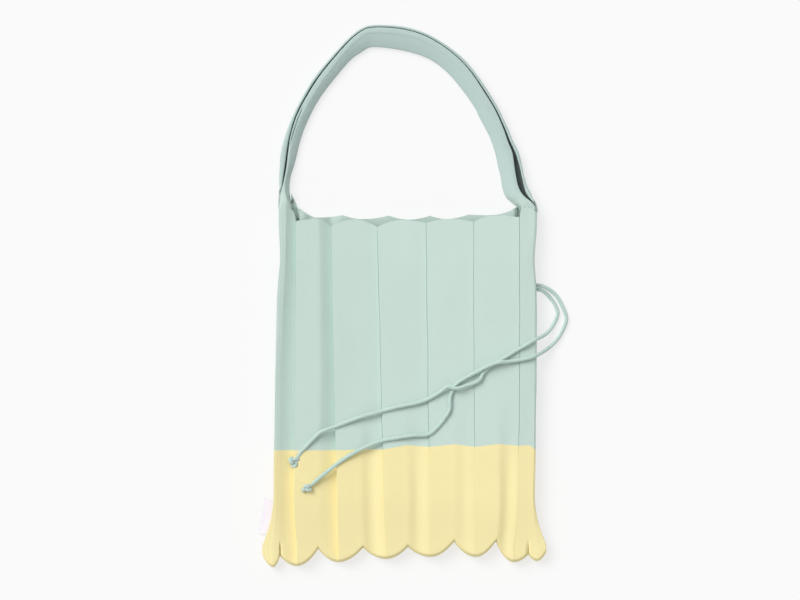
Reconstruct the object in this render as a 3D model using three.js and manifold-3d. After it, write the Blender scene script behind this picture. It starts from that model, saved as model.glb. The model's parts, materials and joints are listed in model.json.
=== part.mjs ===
// Pleated knit bag lying on its back, seen from above: X right, Y towards the handle, Z up.
// Millimetres. The origin is at the bottom centre of the whole object, on the surface it lies on.
import * as THREE from 'three';
import { mergeVertices } from 'three/addons/utils/BufferGeometryUtils.js';
import Module from 'manifold-3d';

const wasm = await Module();
wasm.setup();

// Body
const BODY_WIDTH = 258; // flat width across the front at the mouth
const BODY_HEIGHT = 325; // mouth line down to the line through the notches of the hem
const HEM_DROP = 22.5; // how far the lowest lobe hangs below the notch line
const RIM_WAVE = 11; // how far the rim rises above the mouth line where the handle is sewn on
const LAY_HEIGHT = 20; // height of the pleats' ridges above the surface
const WALL = 1.6; // knitted fabric
const HEM_ROUND = 34; // length over which front and back close in to the hem
const BODY_LEFT_SHARE = -0.4767; // left end of the mouth line, so that X = 0 is the middle of all

// Handle: one strip folded along its inner side, open along its outer side
const STRAP_RISE = 183.7; // seam to the top of the arch
const STRAP_LIFT = 16; // height of the upper layer at the sewn ends
const STRAP_WALL = 2;
const STRAP_FOLD = 4; // radius of the fold
const STRAP_STEPS = 2; // sections for each row of the strap table
const CREST_FLAT = 0.96; // height of the shoulder before the crest, share of the crest's

// Tie cords, knots and side label
const CORD_DIAMETER = 3.8;
const CORD_SIDES = 8;
const KNOT_LENGTH = 9;
const KNOT_WIDTH = 8;
const KNOT_HEIGHT = 7;
const KNOT_TAIL = 5; // cut end beyond the knot
const TAIL_FLARE = 1.1; // its width, share of the cord's
const LABEL_LENGTH = 34;
const LABEL_WIDTH = 9;
const LABEL_THICKNESS = 1;
const LABEL_TOP = 0.863; // share of BODY_HEIGHT below the mouth line
const LABEL_CLEARANCE = 0.8;
const LABEL_DROOP = 3; // its free side hangs this much lower
const LABEL_LEAN = 2; // and stands this much higher up the bag
const LABEL_SPANS = 4;

const GAP = 0.3; // between pieces that touch

const COLOURS = { mint: 0xbfd7cf, yellow: 0xf1e7aa, cord: 0xb5cfc4, label: 0xf6f6f6 };

// Worked-out places
const totalLength = RIM_WAVE + GAP + STRAP_RISE + BODY_HEIGHT + HEM_DROP;
const bodyLeft = BODY_LEFT_SHARE * BODY_WIDTH;
const strapSeam = totalLength / 2 - STRAP_RISE;
const mouthLine = strapSeam - GAP - RIM_WAVE;

// Heights down the body, as shares of BODY_HEIGHT, at which the fold table gives places below
// its top ones on the mouth line.
const LEVELS = { mid: 0.523, low: 0.837, hem: 1 };

// One row for each fold line from left to right. top, mid, low, hem: place across, as shares of
// BODY_WIDTH. back: the same fold of the back layer at the mouth. rim, backRim: rim above the mouth
// line as shares of RIM_WAVE. colour: colour line below the mouth line, share of BODY_HEIGHT.
// drop: hem below the notch line, share of HEM_DROP. front, rear, seam: heights of the front layer,
// the back layer and the hem's seam, as shares of LAY_HEIGHT. kind sets how the lobes swell.
const FOLDS = [
  { kind: 'side', top: 0.000, mid: -0.017, low: -0.023, hem: -0.066, back: 0.000,
    rim: 1.00, backRim: 1.00, colour: 0.708, drop: 0.49, front: 0.48, rear: 0.19, seam: 0.24 },
  { kind: 'valley', top: 0.008, mid: -0.009, low: -0.012, hem: -0.021, back: 0.008,
    rim: 0.97, backRim: 1.00, colour: 0.708, drop: 1.00, front: 0.64, rear: 0.08, seam: 0.16 },
  { kind: 'ridge', top: 0.027, mid: 0.003, low: 0.000, hem: 0.004, back: 0.030,
    rim: 0.80, backRim: 1.00, colour: 0.708, drop: 0.49, front: 0.92, rear: 0.04, seam: 0.24 },
  { kind: 'valley', top: 0.066, mid: 0.060, low: 0.058, hem: 0.070, back: 0.070,
    rim: -0.10, backRim: 0.95, colour: 0.708, drop: 0.95, front: 0.56, rear: 0.00, seam: 0.12 },
  { kind: 'ridge', top: 0.155, mid: 0.161, low: 0.155, hem: 0.151, back: 0.143,
    rim: 0.09, backRim: 0.23, colour: 0.708, drop: 0.18, front: 0.97, rear: 0.14, seam: 0.26 },
  { kind: 'valley', top: 0.202, mid: 0.215, low: 0.225, hem: 0.231, back: 0.248,
    rim: -0.55, backRim: 0.45, colour: 0.708, drop: 0.78, front: 0.60, rear: 0.00, seam: 0.12 },
  { kind: 'ridge', top: 0.295, mid: 0.308, low: 0.320, hem: 0.327, back: 0.322,
    rim: 0.05, backRim: 0.09, colour: 0.705, drop: 0.13, front: 1.00, rear: 0.15, seam: 0.26 },
  { kind: 'valley', top: 0.380, mid: 0.397, low: 0.405, hem: 0.415, back: 0.426,
    rim: -0.64, backRim: 0.41, colour: 0.705, drop: 0.64, front: 0.63, rear: 0.00, seam: 0.12 },
  { kind: 'ridge', top: 0.477, mid: 0.486, low: 0.502, hem: 0.500, back: 0.504,
    rim: 0.00, backRim: 0.05, colour: 0.692, drop: 0.10, front: 1.00, rear: 0.15, seam: 0.26 },
  { kind: 'valley', top: 0.570, mid: 0.578, low: 0.585, hem: 0.587, back: 0.585,
    rim: -0.27, backRim: 0.41, colour: 0.697, drop: 0.55, front: 0.63, rear: 0.00, seam: 0.12 },
  { kind: 'ridge', top: 0.663, mid: 0.678, low: 0.682, hem: 0.678, back: 0.647,
    rim: 0.09, backRim: 0.10, colour: 0.689, drop: -0.13, front: 1.00, rear: 0.15, seam: 0.26 },
  { kind: 'valley', top: 0.754, mid: 0.756, low: 0.760, hem: 0.764, back: 0.733,
    rim: -0.18, backRim: 0.50, colour: 0.697, drop: 0.55, front: 0.63, rear: 0.00, seam: 0.12 },
  { kind: 'ridge', top: 0.837, mid: 0.847, low: 0.853, hem: 0.839, back: 0.822,
    rim: 0.41, backRim: 0.45, colour: 0.688, drop: -0.15, front: 0.98, rear: 0.14, seam: 0.26 },
  { kind: 'valley', top: 0.922, mid: 0.928, low: 0.921, hem: 0.909, back: 0.903,
    rim: 0.23, backRim: 0.91, colour: 0.694, drop: 0.78, front: 0.58, rear: 0.00, seam: 0.12 },
  { kind: 'ridge', top: 0.973, mid: 0.977, low: 0.963, hem: 0.967, back: 0.973,
    rim: 0.98, backRim: 1.00, colour: 0.692, drop: 0.44, front: 0.92, rear: 0.04, seam: 0.24 },
  { kind: 'valley', top: 0.992, mid: 0.990, low: 0.984, hem: 1.002, back: 0.992,
    rim: 1.00, backRim: 1.00, colour: 0.693, drop: 0.73, front: 0.64, rear: 0.08, seam: 0.16 },
  { kind: 'side', top: 1.000, mid: 0.999, low: 0.993, hem: 1.039, back: 1.000,
    rim: 1.00, backRim: 1.00, colour: 0.694, drop: 0.36, front: 0.48, rear: 0.19, seam: 0.24 },
];

// Columns between two fold lines, as shares of the way from the valley to the ridge: the front
// layer rises fast beside the sharp crease and is nearly flat before the soft ridge.
const BETWEEN = [
  { share: 0.2, height: 0.42, rise: 0.36, lobe: 0.04, rear: 0.0 },
  { share: 0.6, height: 0.84, rise: 0.84, lobe: 0.36, rear: 0.6 },
];

const UPPER_ROWS = [0, 0.06, 0.36, 0.7, 1]; // shares of the way from rim to colour line
const BASE_ROWS = [0, 0.4, 0.75, 1]; // shares of the way from colour line to the hem's rounding
const HEM_ROWS = [0.35, 0.62, 0.82, 0.94, 1]; // shares of the rounding, the last one on the hem
const INNER_HEM_ROWS = [0.35, 0.62, 0.82, 0.93]; // the hollow closes a little before it
const MOUTH_SLACK = 0.93; // the front layer lies this much lower at its rim
const SLACK_REACH = 40; // length below the mouth line over which that slack runs out
const SWELL = { side: 3, valley: 3, ridge: 1.7 }; // how late each fold closes in to the hem
const MITRE_LIMIT = 1.6;
const ORDER_STEP = 0.06;

function mix(a, b, share) {
  return a + (b - a) * share;
}

// A column is a point between two folds, or a fold itself, with every value of the fold table.
function columnBetween(valley, ridge, step) {
  const column = { swell: mix(SWELL[valley.kind], SWELL[ridge.kind], step.share) };
  for (const key of ['top', 'mid', 'low', 'hem', 'back', 'colour', 'seam']) {
    column[key] = mix(valley[key], ridge[key], step.share);
  }
  for (const key of ['rim', 'backRim']) {
    column[key] = mix(valley[key], ridge[key], step.rise);
  }
  column.front = mix(valley.front, ridge.front, step.height);
  column.rear = mix(valley.rear, ridge.rear, step.rear);
  column.drop = mix(valley.drop, ridge.drop, step.lobe);
  return column;
}

function makeColumns() {
  const columns = [];
  FOLDS.forEach((fold, i) => {
    columns.push({ ...fold, swell: SWELL[fold.kind] });
    const next = FOLDS[i + 1];
    if (!next) return;
    if (fold.kind === 'valley') {
      for (const step of BETWEEN) columns.push(columnBetween(fold, next, step));
    } else {
      for (const step of [...BETWEEN].reverse()) columns.push(columnBetween(next, fold, step));
    }
  });
  return columns;
}

const columns = makeColumns();

// Place across at a height, straight between the table's levels and flaring below the last but one.
function placeAcross(column, level) {
  let share;
  if (level < LEVELS.mid) {
    share = mix(column.top, column.mid, Math.max(level, 0) / LEVELS.mid);
  } else if (level < LEVELS.low) {
    share = mix(column.mid, column.low, (level - LEVELS.mid) / (LEVELS.low - LEVELS.mid));
  } else {
    const down = Math.min((level - LEVELS.low) / (LEVELS.hem - LEVELS.low), 1);
    share = mix(column.low, column.hem, down * down);
  }
  return share;
}

function bodyPoint(column, layer, y, closing) {
  const level = (mouthLine - y) / BODY_HEIGHT;
  let share = placeAcross(column, level);
  if (layer === 'rear') {
    share += (column.back - column.top) * Math.max(1 - Math.max(level, 0) / LEVELS.mid, 0);
  }
  const open = Math.min(Math.max((mouthLine - y) / SLACK_REACH, 0), 1);
  const slack = layer === 'front' ? mix(MOUTH_SLACK, 1, open) : 1;
  const seam = column.seam * LAY_HEIGHT;
  const height = column[layer] * LAY_HEIGHT * slack;
  const fullness = Math.sqrt(Math.max(1 - closing ** column.swell, 0));
  return { x: bodyLeft + share * BODY_WIDTH, y, z: mix(seam, height, fullness) };
}

// A row runs round the tube: the front layer from left to right, then the back layer home again.
function makeRow(heightOf, closing) {
  const front = columns.map((c) => bodyPoint(c, 'front', heightOf(c, 'front'), closing));
  const rear = columns.map((c) => bodyPoint(c, 'rear', heightOf(c, 'rear'), closing));
  return [...front, ...rear.reverse()];
}

// Normal of a line's corner, turned to the right of its way, and how far to go along it so that
// both sides of the corner move by 1. Sharp corners go no further than MITRE_LIMIT.
function cornerInset(before, point, after) {
  const first = new THREE.Vector2(point.y - before.y, before.x - point.x).normalize();
  const second = new THREE.Vector2(after.y - point.y, point.x - after.x).normalize();
  const middle = first.clone().add(second).normalize();
  return middle.multiplyScalar(Math.min(1 / middle.dot(first), MITRE_LIMIT));
}

// Points that a narrow fold would make pass each other stay a little apart instead.
function keepOrder(points, key, sign) {
  for (let i = 1; i < points.length; i++) {
    const least = points[i - 1][key] + sign * ORDER_STEP;
    if (sign * (points[i][key] - least) < 0) points[i][key] = least;
  }
}

function orderLayer(points) {
  const middle = points.length >> 1;
  keepOrder(points.slice(0, middle), 'x', 1);
  keepOrder(points.slice(middle).reverse(), 'x', -1);
}

function insetRow(row, distance) {
  const flat = row.map((point) => new THREE.Vector2(point.x, point.z));
  const inset = row.map((point, i) => {
    const before = flat[(i + row.length - 1) % row.length];
    const move = cornerInset(before, flat[i], flat[(i + 1) % row.length]);
    return { x: point.x + move.x * distance, y: point.y, z: point.z + move.y * distance };
  });
  const half = row.length / 2;
  orderLayer(inset.slice(0, half));
  orderLayer(inset.slice(half).reverse());
  return inset;
}

// The rows' front and back points meet on the hem, where one point serves both.
function joinLayers(row) {
  const half = row.length / 2;
  return row.map((point, i) => {
    const twin = row[row.length - 1 - i];
    const front = i < half ? point : twin;
    return { x: front.x, y: front.y, z: (point.z + twin.z) / 2, joined: i < half ? i : row.length - 1 - i };
  });
}

class Skin {
  constructor() {
    this.positions = [];
    this.indices = [];
  }

  addRow(row) {
    const start = this.positions.length / 3;
    for (const point of row) this.positions.push(point.x, point.y, point.z);
    return row.map((point, i) => start + (point.joined ?? i));
  }

  triangle(corners) {
    if (new Set(corners).size === 3) this.indices.push(...corners);
  }

  // Faces between two rows. Reversed, the same triangles face the other way.
  band(upper, lower, { closed = true, reversed = false } = {}) {
    const last = closed ? upper.length : upper.length - 1;
    for (let i = 0; i < last; i++) {
      const j = (i + 1) % upper.length;
      for (const corners of [[upper[i], lower[i], lower[j]], [upper[i], lower[j], upper[j]]]) {
        this.triangle(reversed ? corners.reverse() : corners);
      }
    }
  }

  solid() {
    const geometry = new THREE.BufferGeometry();
    geometry.setAttribute('position', new THREE.Float32BufferAttribute(this.positions, 3));
    geometry.setIndex(this.indices);
    return dropLooseVertices(geometry);
  }
}

// Points that no triangle uses, such as the spare twins on the hem, are left out.
function dropLooseVertices(geometry) {
  const source = geometry.getAttribute('position');
  const places = new Map();
  const positions = [];
  const indices = Array.from(geometry.index.array, (old) => {
    if (!places.has(old)) {
      places.set(old, positions.length / 3);
      positions.push(source.getX(old), source.getY(old), source.getZ(old));
    }
    return places.get(old);
  });
  const clean = new THREE.BufferGeometry();
  clean.setAttribute('position', new THREE.Float32BufferAttribute(positions, 3));
  clean.setIndex(indices);
  clean.computeVertexNormals();
  return clean;
}

function rimHeight(column, layer) {
  return mouthLine + RIM_WAVE * (layer === 'front' ? column.rim : column.backRim);
}

function colourHeight(column) {
  return mouthLine - BODY_HEIGHT * column.colour;
}

function hemHeight(column) {
  return mouthLine - BODY_HEIGHT - HEM_DROP * column.drop;
}

function makeUpper() {
  const rows = UPPER_ROWS.map((share) =>
    makeRow((column, layer) => mix(rimHeight(column, layer), colourHeight(column), share), 0));
  const skin = new Skin();
  const outer = rows.map((row) => skin.addRow(row));
  const inner = rows.map((row) => skin.addRow(insetRow(row, WALL)));
  for (let r = 0; r + 1 < rows.length; r++) {
    skin.band(outer[r], outer[r + 1]);
    skin.band(inner[r], inner[r + 1], { reversed: true });
  }
  skin.band(outer[0], inner[0], { reversed: true });
  skin.band(outer.at(-1), inner.at(-1));
  return skin.solid();
}

function baseRow(share, closing) {
  return makeRow((column) => {
    const start = colourHeight(column) - GAP;
    const rounding = hemHeight(column) + HEM_ROUND;
    return mix(start, rounding, share) - HEM_ROUND * closing;
  }, closing);
}

function makeBase() {
  const straight = BASE_ROWS.map((share) => baseRow(share, 0));
  const outerRows = [...straight, ...HEM_ROWS.map((closing) => baseRow(1, closing))];
  const innerRows = [...straight, ...INNER_HEM_ROWS.map((closing) => baseRow(1, closing))];
  const skin = new Skin();
  const outer = outerRows.map((row, r) =>
    skin.addRow(r + 1 < outerRows.length ? row : joinLayers(row)));
  const inner = innerRows.map((row, r) =>
    skin.addRow(r + 1 < innerRows.length ? insetRow(row, WALL) : joinLayers(row)));
  for (let r = 0; r + 1 < outer.length; r++) skin.band(outer[r], outer[r + 1]);
  for (let r = 0; r + 1 < inner.length; r++) {
    skin.band(inner[r], inner[r + 1], { reversed: true });
  }
  skin.band(outer[0], inner[0], { reversed: true });
  return skin.solid();
}

// Handle, one row for each section from the right seam over the arch to the left seam.
// inner, outer: the folded and the open side, each as [share of BODY_WIDTH across, share of
// STRAP_RISE above the seam]. lip: how far the upper layer stops short of the lower one, share of
// the strip's width. crest, edge: heights of the upper layer's crest and free edge, as shares of
// STRAP_LIFT.
const STRAP = [
  { inner: [0.917, 0.000], outer: [0.999, 0.000], lip: 0.03, crest: 1.00, edge: 0.52 },
  { inner: [0.891, 0.026], outer: [0.988, 0.042], lip: 0.06, crest: 0.92, edge: 0.50 },
  { inner: [0.868, 0.091], outer: [0.971, 0.102], lip: 0.30, crest: 0.80, edge: 0.75 },
  { inner: [0.860, 0.156], outer: [0.953, 0.173], lip: 0.40, crest: 0.76, edge: 0.76 },
  { inner: [0.849, 0.232], outer: [0.942, 0.254], lip: 0.29, crest: 0.72, edge: 0.72 },
  { inner: [0.831, 0.320], outer: [0.917, 0.341], lip: 0.17, crest: 0.68, edge: 0.68 },
  { inner: [0.804, 0.434], outer: [0.886, 0.458], lip: 0.19, crest: 0.66, edge: 0.66 },
  { inner: [0.764, 0.548], outer: [0.835, 0.589], lip: 0.15, crest: 0.65, edge: 0.64 },
  { inner: [0.707, 0.657], outer: [0.779, 0.711], lip: 0.17, crest: 0.65, edge: 0.62 },
  { inner: [0.640, 0.758], outer: [0.715, 0.820], lip: 0.12, crest: 0.65, edge: 0.60 },
  { inner: [0.566, 0.826], outer: [0.609, 0.929], lip: 0.10, crest: 0.65, edge: 0.58 },
  { inner: [0.461, 0.861], outer: [0.484, 0.992], lip: 0.10, crest: 0.65, edge: 0.58 },
  { inner: [0.357, 0.880], outer: [0.357, 0.999], lip: 0.10, crest: 0.65, edge: 0.60 },
  { inner: [0.287, 0.826], outer: [0.240, 0.897], lip: 0.16, crest: 0.65, edge: 0.62 },
  { inner: [0.240, 0.752], outer: [0.178, 0.788], lip: 0.18, crest: 0.65, edge: 0.64 },
  { inner: [0.186, 0.657], outer: [0.116, 0.682], lip: 0.17, crest: 0.66, edge: 0.66 },
  { inner: [0.132, 0.537], outer: [0.066, 0.545], lip: 0.14, crest: 0.67, edge: 0.67 },
  { inner: [0.089, 0.401], outer: [0.029, 0.412], lip: 0.30, crest: 0.70, edge: 0.70 },
  { inner: [0.070, 0.287], outer: [0.006, 0.287], lip: 0.36, crest: 0.74, edge: 0.74 },
  { inner: [0.048, 0.200], outer: [0.000, 0.200], lip: 0.40, crest: 0.80, edge: 0.80 },
  { inner: [0.041, 0.134], outer: [-0.001, 0.134], lip: 0.28, crest: 0.86, edge: 0.70 },
  { inner: [0.043, 0.069], outer: [-0.002, 0.069], lip: 0.05, crest: 0.94, edge: 0.52 },
  { inner: [0.052, 0.000], outer: [0.000, 0.000], lip: 0.03, crest: 1.00, edge: 0.52 },
];

function strapPlace([across, up]) {
  return new THREE.Vector3(bodyLeft + across * BODY_WIDTH, strapSeam + up * STRAP_RISE, 0);
}

// Section of the folded strip as an open line: u runs from the folded side to the open side.
// The shares place its points between the fold and the open side, and up the fold.
const SECTION_SHARES = { flat: 0.5, foot: 0.8, knee: 0.5, kneeRise: 0.6, shoulder: 0.35, crest: 0.72 };

function strapSection(width, { lip, crest, edge }) {
  const shares = SECTION_SHARES;
  const reach = width * (1 - lip);
  const top = crest * STRAP_LIFT;
  return [
    { u: width, z: 0 },
    { u: mix(STRAP_FOLD, width, shares.flat), z: 0 },
    { u: STRAP_FOLD * shares.foot, z: 0 },
    { u: 0, z: STRAP_FOLD },
    { u: STRAP_FOLD * shares.knee, z: mix(STRAP_FOLD, top, shares.kneeRise) },
    { u: mix(STRAP_FOLD, reach, shares.shoulder), z: top * CREST_FLAT },
    { u: mix(STRAP_FOLD, reach, shares.crest), z: top },
    { u: reach, z: edge * STRAP_LIFT },
  ];
}

// The same line moved in by the strip's thickness.
function insetSection(line, distance) {
  const flat = line.map((point) => new THREE.Vector2(point.u, point.z));
  const last = flat.length - 1;
  const inset = line.map((point, i) => {
    const before = i === 0 ? flat[0].clone().multiplyScalar(2).sub(flat[1]) : flat[i - 1];
    const after = i === last ? flat[last].clone().multiplyScalar(2).sub(flat[last - 1]) : flat[i + 1];
    const move = cornerInset(before, flat[i], after);
    return { u: point.u + move.x * distance, z: point.z + move.y * distance };
  });
  const fold = line.findIndex((point) => point.u === 0);
  keepOrder(inset.slice(fold), 'u', 1);
  keepOrder(inset.slice(0, fold + 1).reverse(), 'u', 1);
  return inset;
}

function makeStrap() {
  const inner = new THREE.CatmullRomCurve3(STRAP.map((row) => strapPlace(row.inner)));
  const outer = new THREE.CatmullRomCurve3(STRAP.map((row) => strapPlace(row.outer)));
  const spans = (STRAP.length - 1) * STRAP_STEPS;
  const skin = new Skin();
  const rows = [];
  for (let i = 0; i <= spans; i++) {
    const share = i / spans;
    const from = inner.getPoint(share);
    const across = outer.getPoint(share).sub(from);
    const width = across.length();
    across.normalize();
    const station = (STRAP.length - 1) * share;
    const low = STRAP[Math.floor(station)];
    const high = STRAP[Math.ceil(station)];
    const values = {};
    for (const key of ['lip', 'crest', 'edge']) values[key] = mix(low[key], high[key], station % 1);
    const line = strapSection(width, values);
    const section = [...line, ...insetSection(line, STRAP_WALL).reverse()];
    const points = section.map(({ u, z }) => ({
      x: from.x + across.x * u, y: from.y + across.y * u, z,
    }));
    rows.push(skin.addRow(points));
  }
  for (let i = 0; i < spans; i++) skin.band(rows[i], rows[i + 1], { reversed: true });
  const half = rows[0].length / 2;
  const faceOf = (row) => [row.slice(0, half), row.slice(half).reverse()];
  const [startOuter, startInner] = faceOf(rows[0]);
  const [endOuter, endInner] = faceOf(rows.at(-1));
  skin.band(startOuter, startInner, { closed: false });
  skin.band(endInner, endOuter, { closed: false });
  return skin.solid();
}

// Tie cords: each route runs from the side fold to the knot, chosen by hand as [x, y, z].
const UPPER_CORD = [
  [135.6, 6.6, 6.5], [139.0, 6.1, 6.3], [143.0, 4.0, 4.8], [148.5, -1.6, 2.8],
  [153.3, -8.5, 2.2], [156.0, -16.8, 2.2],
  [154.0, -23.8, 2.4], [148.0, -33.8, 5.0], [142.0, -39.0, 10.0], [132.0, -43.8, 20.0],
  [124.0, -48.4, 22.4], [114.5, -53.8, 21.6], [105.0, -59.8, 22.2], [97.0, -64.5, 22.4],
  [88.0, -70.0, 22.4], [81.0, -77.0, 22.6], [77.0, -83.8, 23.4], [65.0, -88.8, 24.6],
  [55.0, -91.8, 26.7], [45.0, -90.3, 26.4], [39.0, -94.8, 24.2], [27.5, -101.8, 22.6],
  [17.5, -105.8, 22.2], [-2.0, -109.8, 22.6], [-20.0, -114.6, 21.6], [-41.5, -120.6, 22.6],
  [-63.0, -128.8, 21.2], [-81.6, -136.0, 22.4], [-89.2, -143.0, 21.4], [-95.6, -149.7, 20.6],
  [-100.6, -155.2, 19.6], [-104.8, -161.2, 19.0],
];
const LOWER_CORD = [
  [135.6, 11.2, 6.5], [139.5, 10.7, 6.3], [146.0, 7.7, 5.0], [154.6, 0.5, 2.6],
  [161.3, -11.5, 2.2],
  [164.7, -22.2, 2.2], [162.0, -31.8, 2.2], [156.0, -42.4, 2.8], [146.6, -51.8, 6.0],
  [137.0, -57.8, 15.0], [130.0, -60.6, 21.6], [116.0, -63.8, 22.4], [105.0, -65.2, 24.6],
  [96.0, -66.0, 26.7], [86.0, -69.4, 26.8], [74.0, -75.8, 24.4], [61.0, -82.8, 22.8],
  [53.0, -89.0, 22.4], [48.0, -100.8, 22.4], [47.5, -112.8, 22.4], [43.0, -120.8, 22.2],
  [35.0, -130.8, 21.6], [26.5, -137.6, 21.8], [11.0, -138.8, 22.4], [-2.0, -140.8, 22.6],
  [-20.0, -144.3, 21.4], [-41.5, -152.8, 22.6], [-60.0, -163.8, 21.4], [-76.3, -176.2, 22.2],
  [-90.4, -188.0, 21.9],
];
const CORD_STEP = CORD_DIAMETER * 1.3; // close enough for the tight turns outside the side fold
const CORD_STEP_LIMIT = 80;

function cordCurve(route) {
  return new THREE.CatmullRomCurve3(route.map((point) => new THREE.Vector3(...point)));
}

function circleShape(diameter, sides) {
  const shape = new THREE.Shape();
  for (let i = 0; i < sides; i++) {
    const angle = ((i + 0.5) / sides) * Math.PI * 2;
    const x = (Math.cos(angle) * diameter) / 2;
    const y = (Math.sin(angle) * diameter) / 2;
    if (i === 0) shape.moveTo(x, y);
    else shape.lineTo(x, y);
  }
  shape.closePath();
  return shape;
}

function makeCord(route) {
  const curve = cordCurve(route);
  const steps = Math.min(Math.round(curve.getLength() / CORD_STEP), CORD_STEP_LIMIT);
  const shape = circleShape(CORD_DIAMETER, CORD_SIDES);
  return new THREE.ExtrudeGeometry(shape, { steps, bevelEnabled: false, extrudePath: curve });
}

function toManifold(geometry) {
  geometry.deleteAttribute('normal');
  geometry.deleteAttribute('uv');
  const merged = mergeVertices(geometry);
  const mesh = new wasm.Mesh({
    numProp: 3,
    vertProperties: new Float32Array(merged.getAttribute('position').array),
    triVerts: new Uint32Array(merged.index.array),
  });
  return new wasm.Manifold(mesh);
}

function fromManifold(manifold) {
  const mesh = manifold.getMesh();
  const geometry = new THREE.BufferGeometry();
  geometry.setAttribute('position', new THREE.Float32BufferAttribute(mesh.vertProperties, 3));
  geometry.setIndex(Array.from(mesh.triVerts));
  geometry.computeVertexNormals();
  return geometry;
}

// A knot lies at the cord's end, with the cord's cut tail sticking out beyond it.
function makeKnot(route, tailTurn) {
  const curve = cordCurve(route);
  const end = curve.getPoint(1);
  const along = curve.getTangent(1);
  const turn = Math.atan2(along.y, along.x);
  const ball = new THREE.SphereGeometry(0.5, 10, 8);
  ball.scale(KNOT_LENGTH, KNOT_WIDTH, KNOT_HEIGHT);
  const tailLength = KNOT_LENGTH / 2 + KNOT_TAIL;
  const cut = (CORD_DIAMETER * TAIL_FLARE) / 2;
  const tail = new THREE.CylinderGeometry(cut, CORD_DIAMETER / 2, tailLength, CORD_SIDES);
  tail.rotateZ(-Math.PI / 2);
  tail.translate(tailLength / 2, 0, 0);
  tail.rotateZ(tailTurn);
  const knot = fromManifold(toManifold(ball).add(toManifold(tail)));
  const mesh = new THREE.Mesh(knot);
  mesh.rotation.z = turn;
  mesh.position.copy(end).addScaledVector(along, KNOT_LENGTH / 2 + GAP);
  return mesh;
}

// Blank folded label, sewn into the left side fold near the hem.
function makeLabel() {
  const side = columns[0];
  const topY = mouthLine - BODY_HEIGHT * LABEL_TOP;
  const seamZ = mix(side.rear, side.front, 0.5) * LAY_HEIGHT;
  const skin = new Skin();
  const rows = [];
  for (let i = 0; i <= LABEL_SPANS; i++) {
    const y = topY - (LABEL_LENGTH * i) / LABEL_SPANS;
    const x = bodyLeft + placeAcross(side, (mouthLine - y) / BODY_HEIGHT) * BODY_WIDTH;
    const sewn = x - LABEL_CLEARANCE;
    const free = sewn - LABEL_WIDTH;
    rows.push(skin.addRow([
      { x: free, y: y + LABEL_LEAN, z: seamZ - LABEL_DROOP + LABEL_THICKNESS },
      { x: sewn, y, z: seamZ + LABEL_THICKNESS },
      { x: sewn, y, z: seamZ },
      { x: free, y: y + LABEL_LEAN, z: seamZ - LABEL_DROOP },
    ]));
  }
  for (let i = 0; i < LABEL_SPANS; i++) skin.band(rows[i], rows[i + 1]);
  const [first, last] = [rows[0], rows.at(-1)];
  skin.band([first[3], first[2]], [first[0], first[1]], { closed: false });
  skin.band([last[0], last[1]], [last[3], last[2]], { closed: false });
  return skin.solid();
}

const group = new THREE.Group();

function addPiece(name, piece, colour, roughness) {
  const mesh = piece.isMesh ? piece : new THREE.Mesh(piece);
  mesh.name = name;
  mesh.material = new THREE.MeshStandardMaterial({ color: colour, roughness, metalness: 0 });
  group.add(mesh);
}

addPiece('body_upper', makeUpper(), COLOURS.mint, 0.9);
addPiece('body_base', makeBase(), COLOURS.yellow, 0.9);
addPiece('strap', makeStrap(), COLOURS.mint, 0.9);
addPiece('tie_cord_upper', makeCord(UPPER_CORD), COLOURS.cord, 0.9);
addPiece('tie_cord_lower', makeCord(LOWER_CORD), COLOURS.cord, 0.9);
addPiece('tie_knot_upper', makeKnot(UPPER_CORD, 0.5), COLOURS.cord, 0.9);
addPiece('tie_knot_lower', makeKnot(LOWER_CORD, -0.6), COLOURS.cord, 0.9);
addPiece('side_label', makeLabel(), COLOURS.label, 0.8);

export default group;
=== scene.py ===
"""Pleated knit bag lying on its back, seen from straight above.

Metres in the objects, millimetres in the tables. X right, Y towards the handle, Z up.
"""
import json
import math

import bmesh
import bpy
from bpy.props import FloatProperty, FloatVectorProperty, IntProperty, PointerProperty
from mathutils import Matrix, Vector, noise

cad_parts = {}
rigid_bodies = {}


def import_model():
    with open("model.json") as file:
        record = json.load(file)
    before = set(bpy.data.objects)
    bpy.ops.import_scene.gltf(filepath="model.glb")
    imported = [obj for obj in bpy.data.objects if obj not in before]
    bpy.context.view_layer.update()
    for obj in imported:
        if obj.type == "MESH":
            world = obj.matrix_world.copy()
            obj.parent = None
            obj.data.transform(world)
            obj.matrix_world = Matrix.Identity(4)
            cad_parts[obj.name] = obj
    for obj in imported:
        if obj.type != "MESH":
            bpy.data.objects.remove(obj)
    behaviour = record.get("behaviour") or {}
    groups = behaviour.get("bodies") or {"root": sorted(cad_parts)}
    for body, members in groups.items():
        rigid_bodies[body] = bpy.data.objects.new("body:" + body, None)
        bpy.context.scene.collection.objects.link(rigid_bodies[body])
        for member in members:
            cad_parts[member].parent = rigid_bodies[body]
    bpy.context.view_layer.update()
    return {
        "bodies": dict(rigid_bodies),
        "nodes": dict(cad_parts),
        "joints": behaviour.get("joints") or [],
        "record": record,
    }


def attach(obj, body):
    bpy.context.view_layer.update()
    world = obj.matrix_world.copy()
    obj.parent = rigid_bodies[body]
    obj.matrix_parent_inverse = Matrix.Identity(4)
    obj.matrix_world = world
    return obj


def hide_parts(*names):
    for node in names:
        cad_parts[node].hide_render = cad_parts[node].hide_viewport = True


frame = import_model()

bl_info = {
    "name": "Pleated knit bag",
    "version": (1, 0, 0),
    "blender": (4, 5, 0),
    "location": "3D View > Sidebar > Knit bag",
    "description": "Builds a pleated knit bag with a folded handle and knotted tie cords",
    "category": "Add Mesh",
}

MM = 0.001

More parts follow.
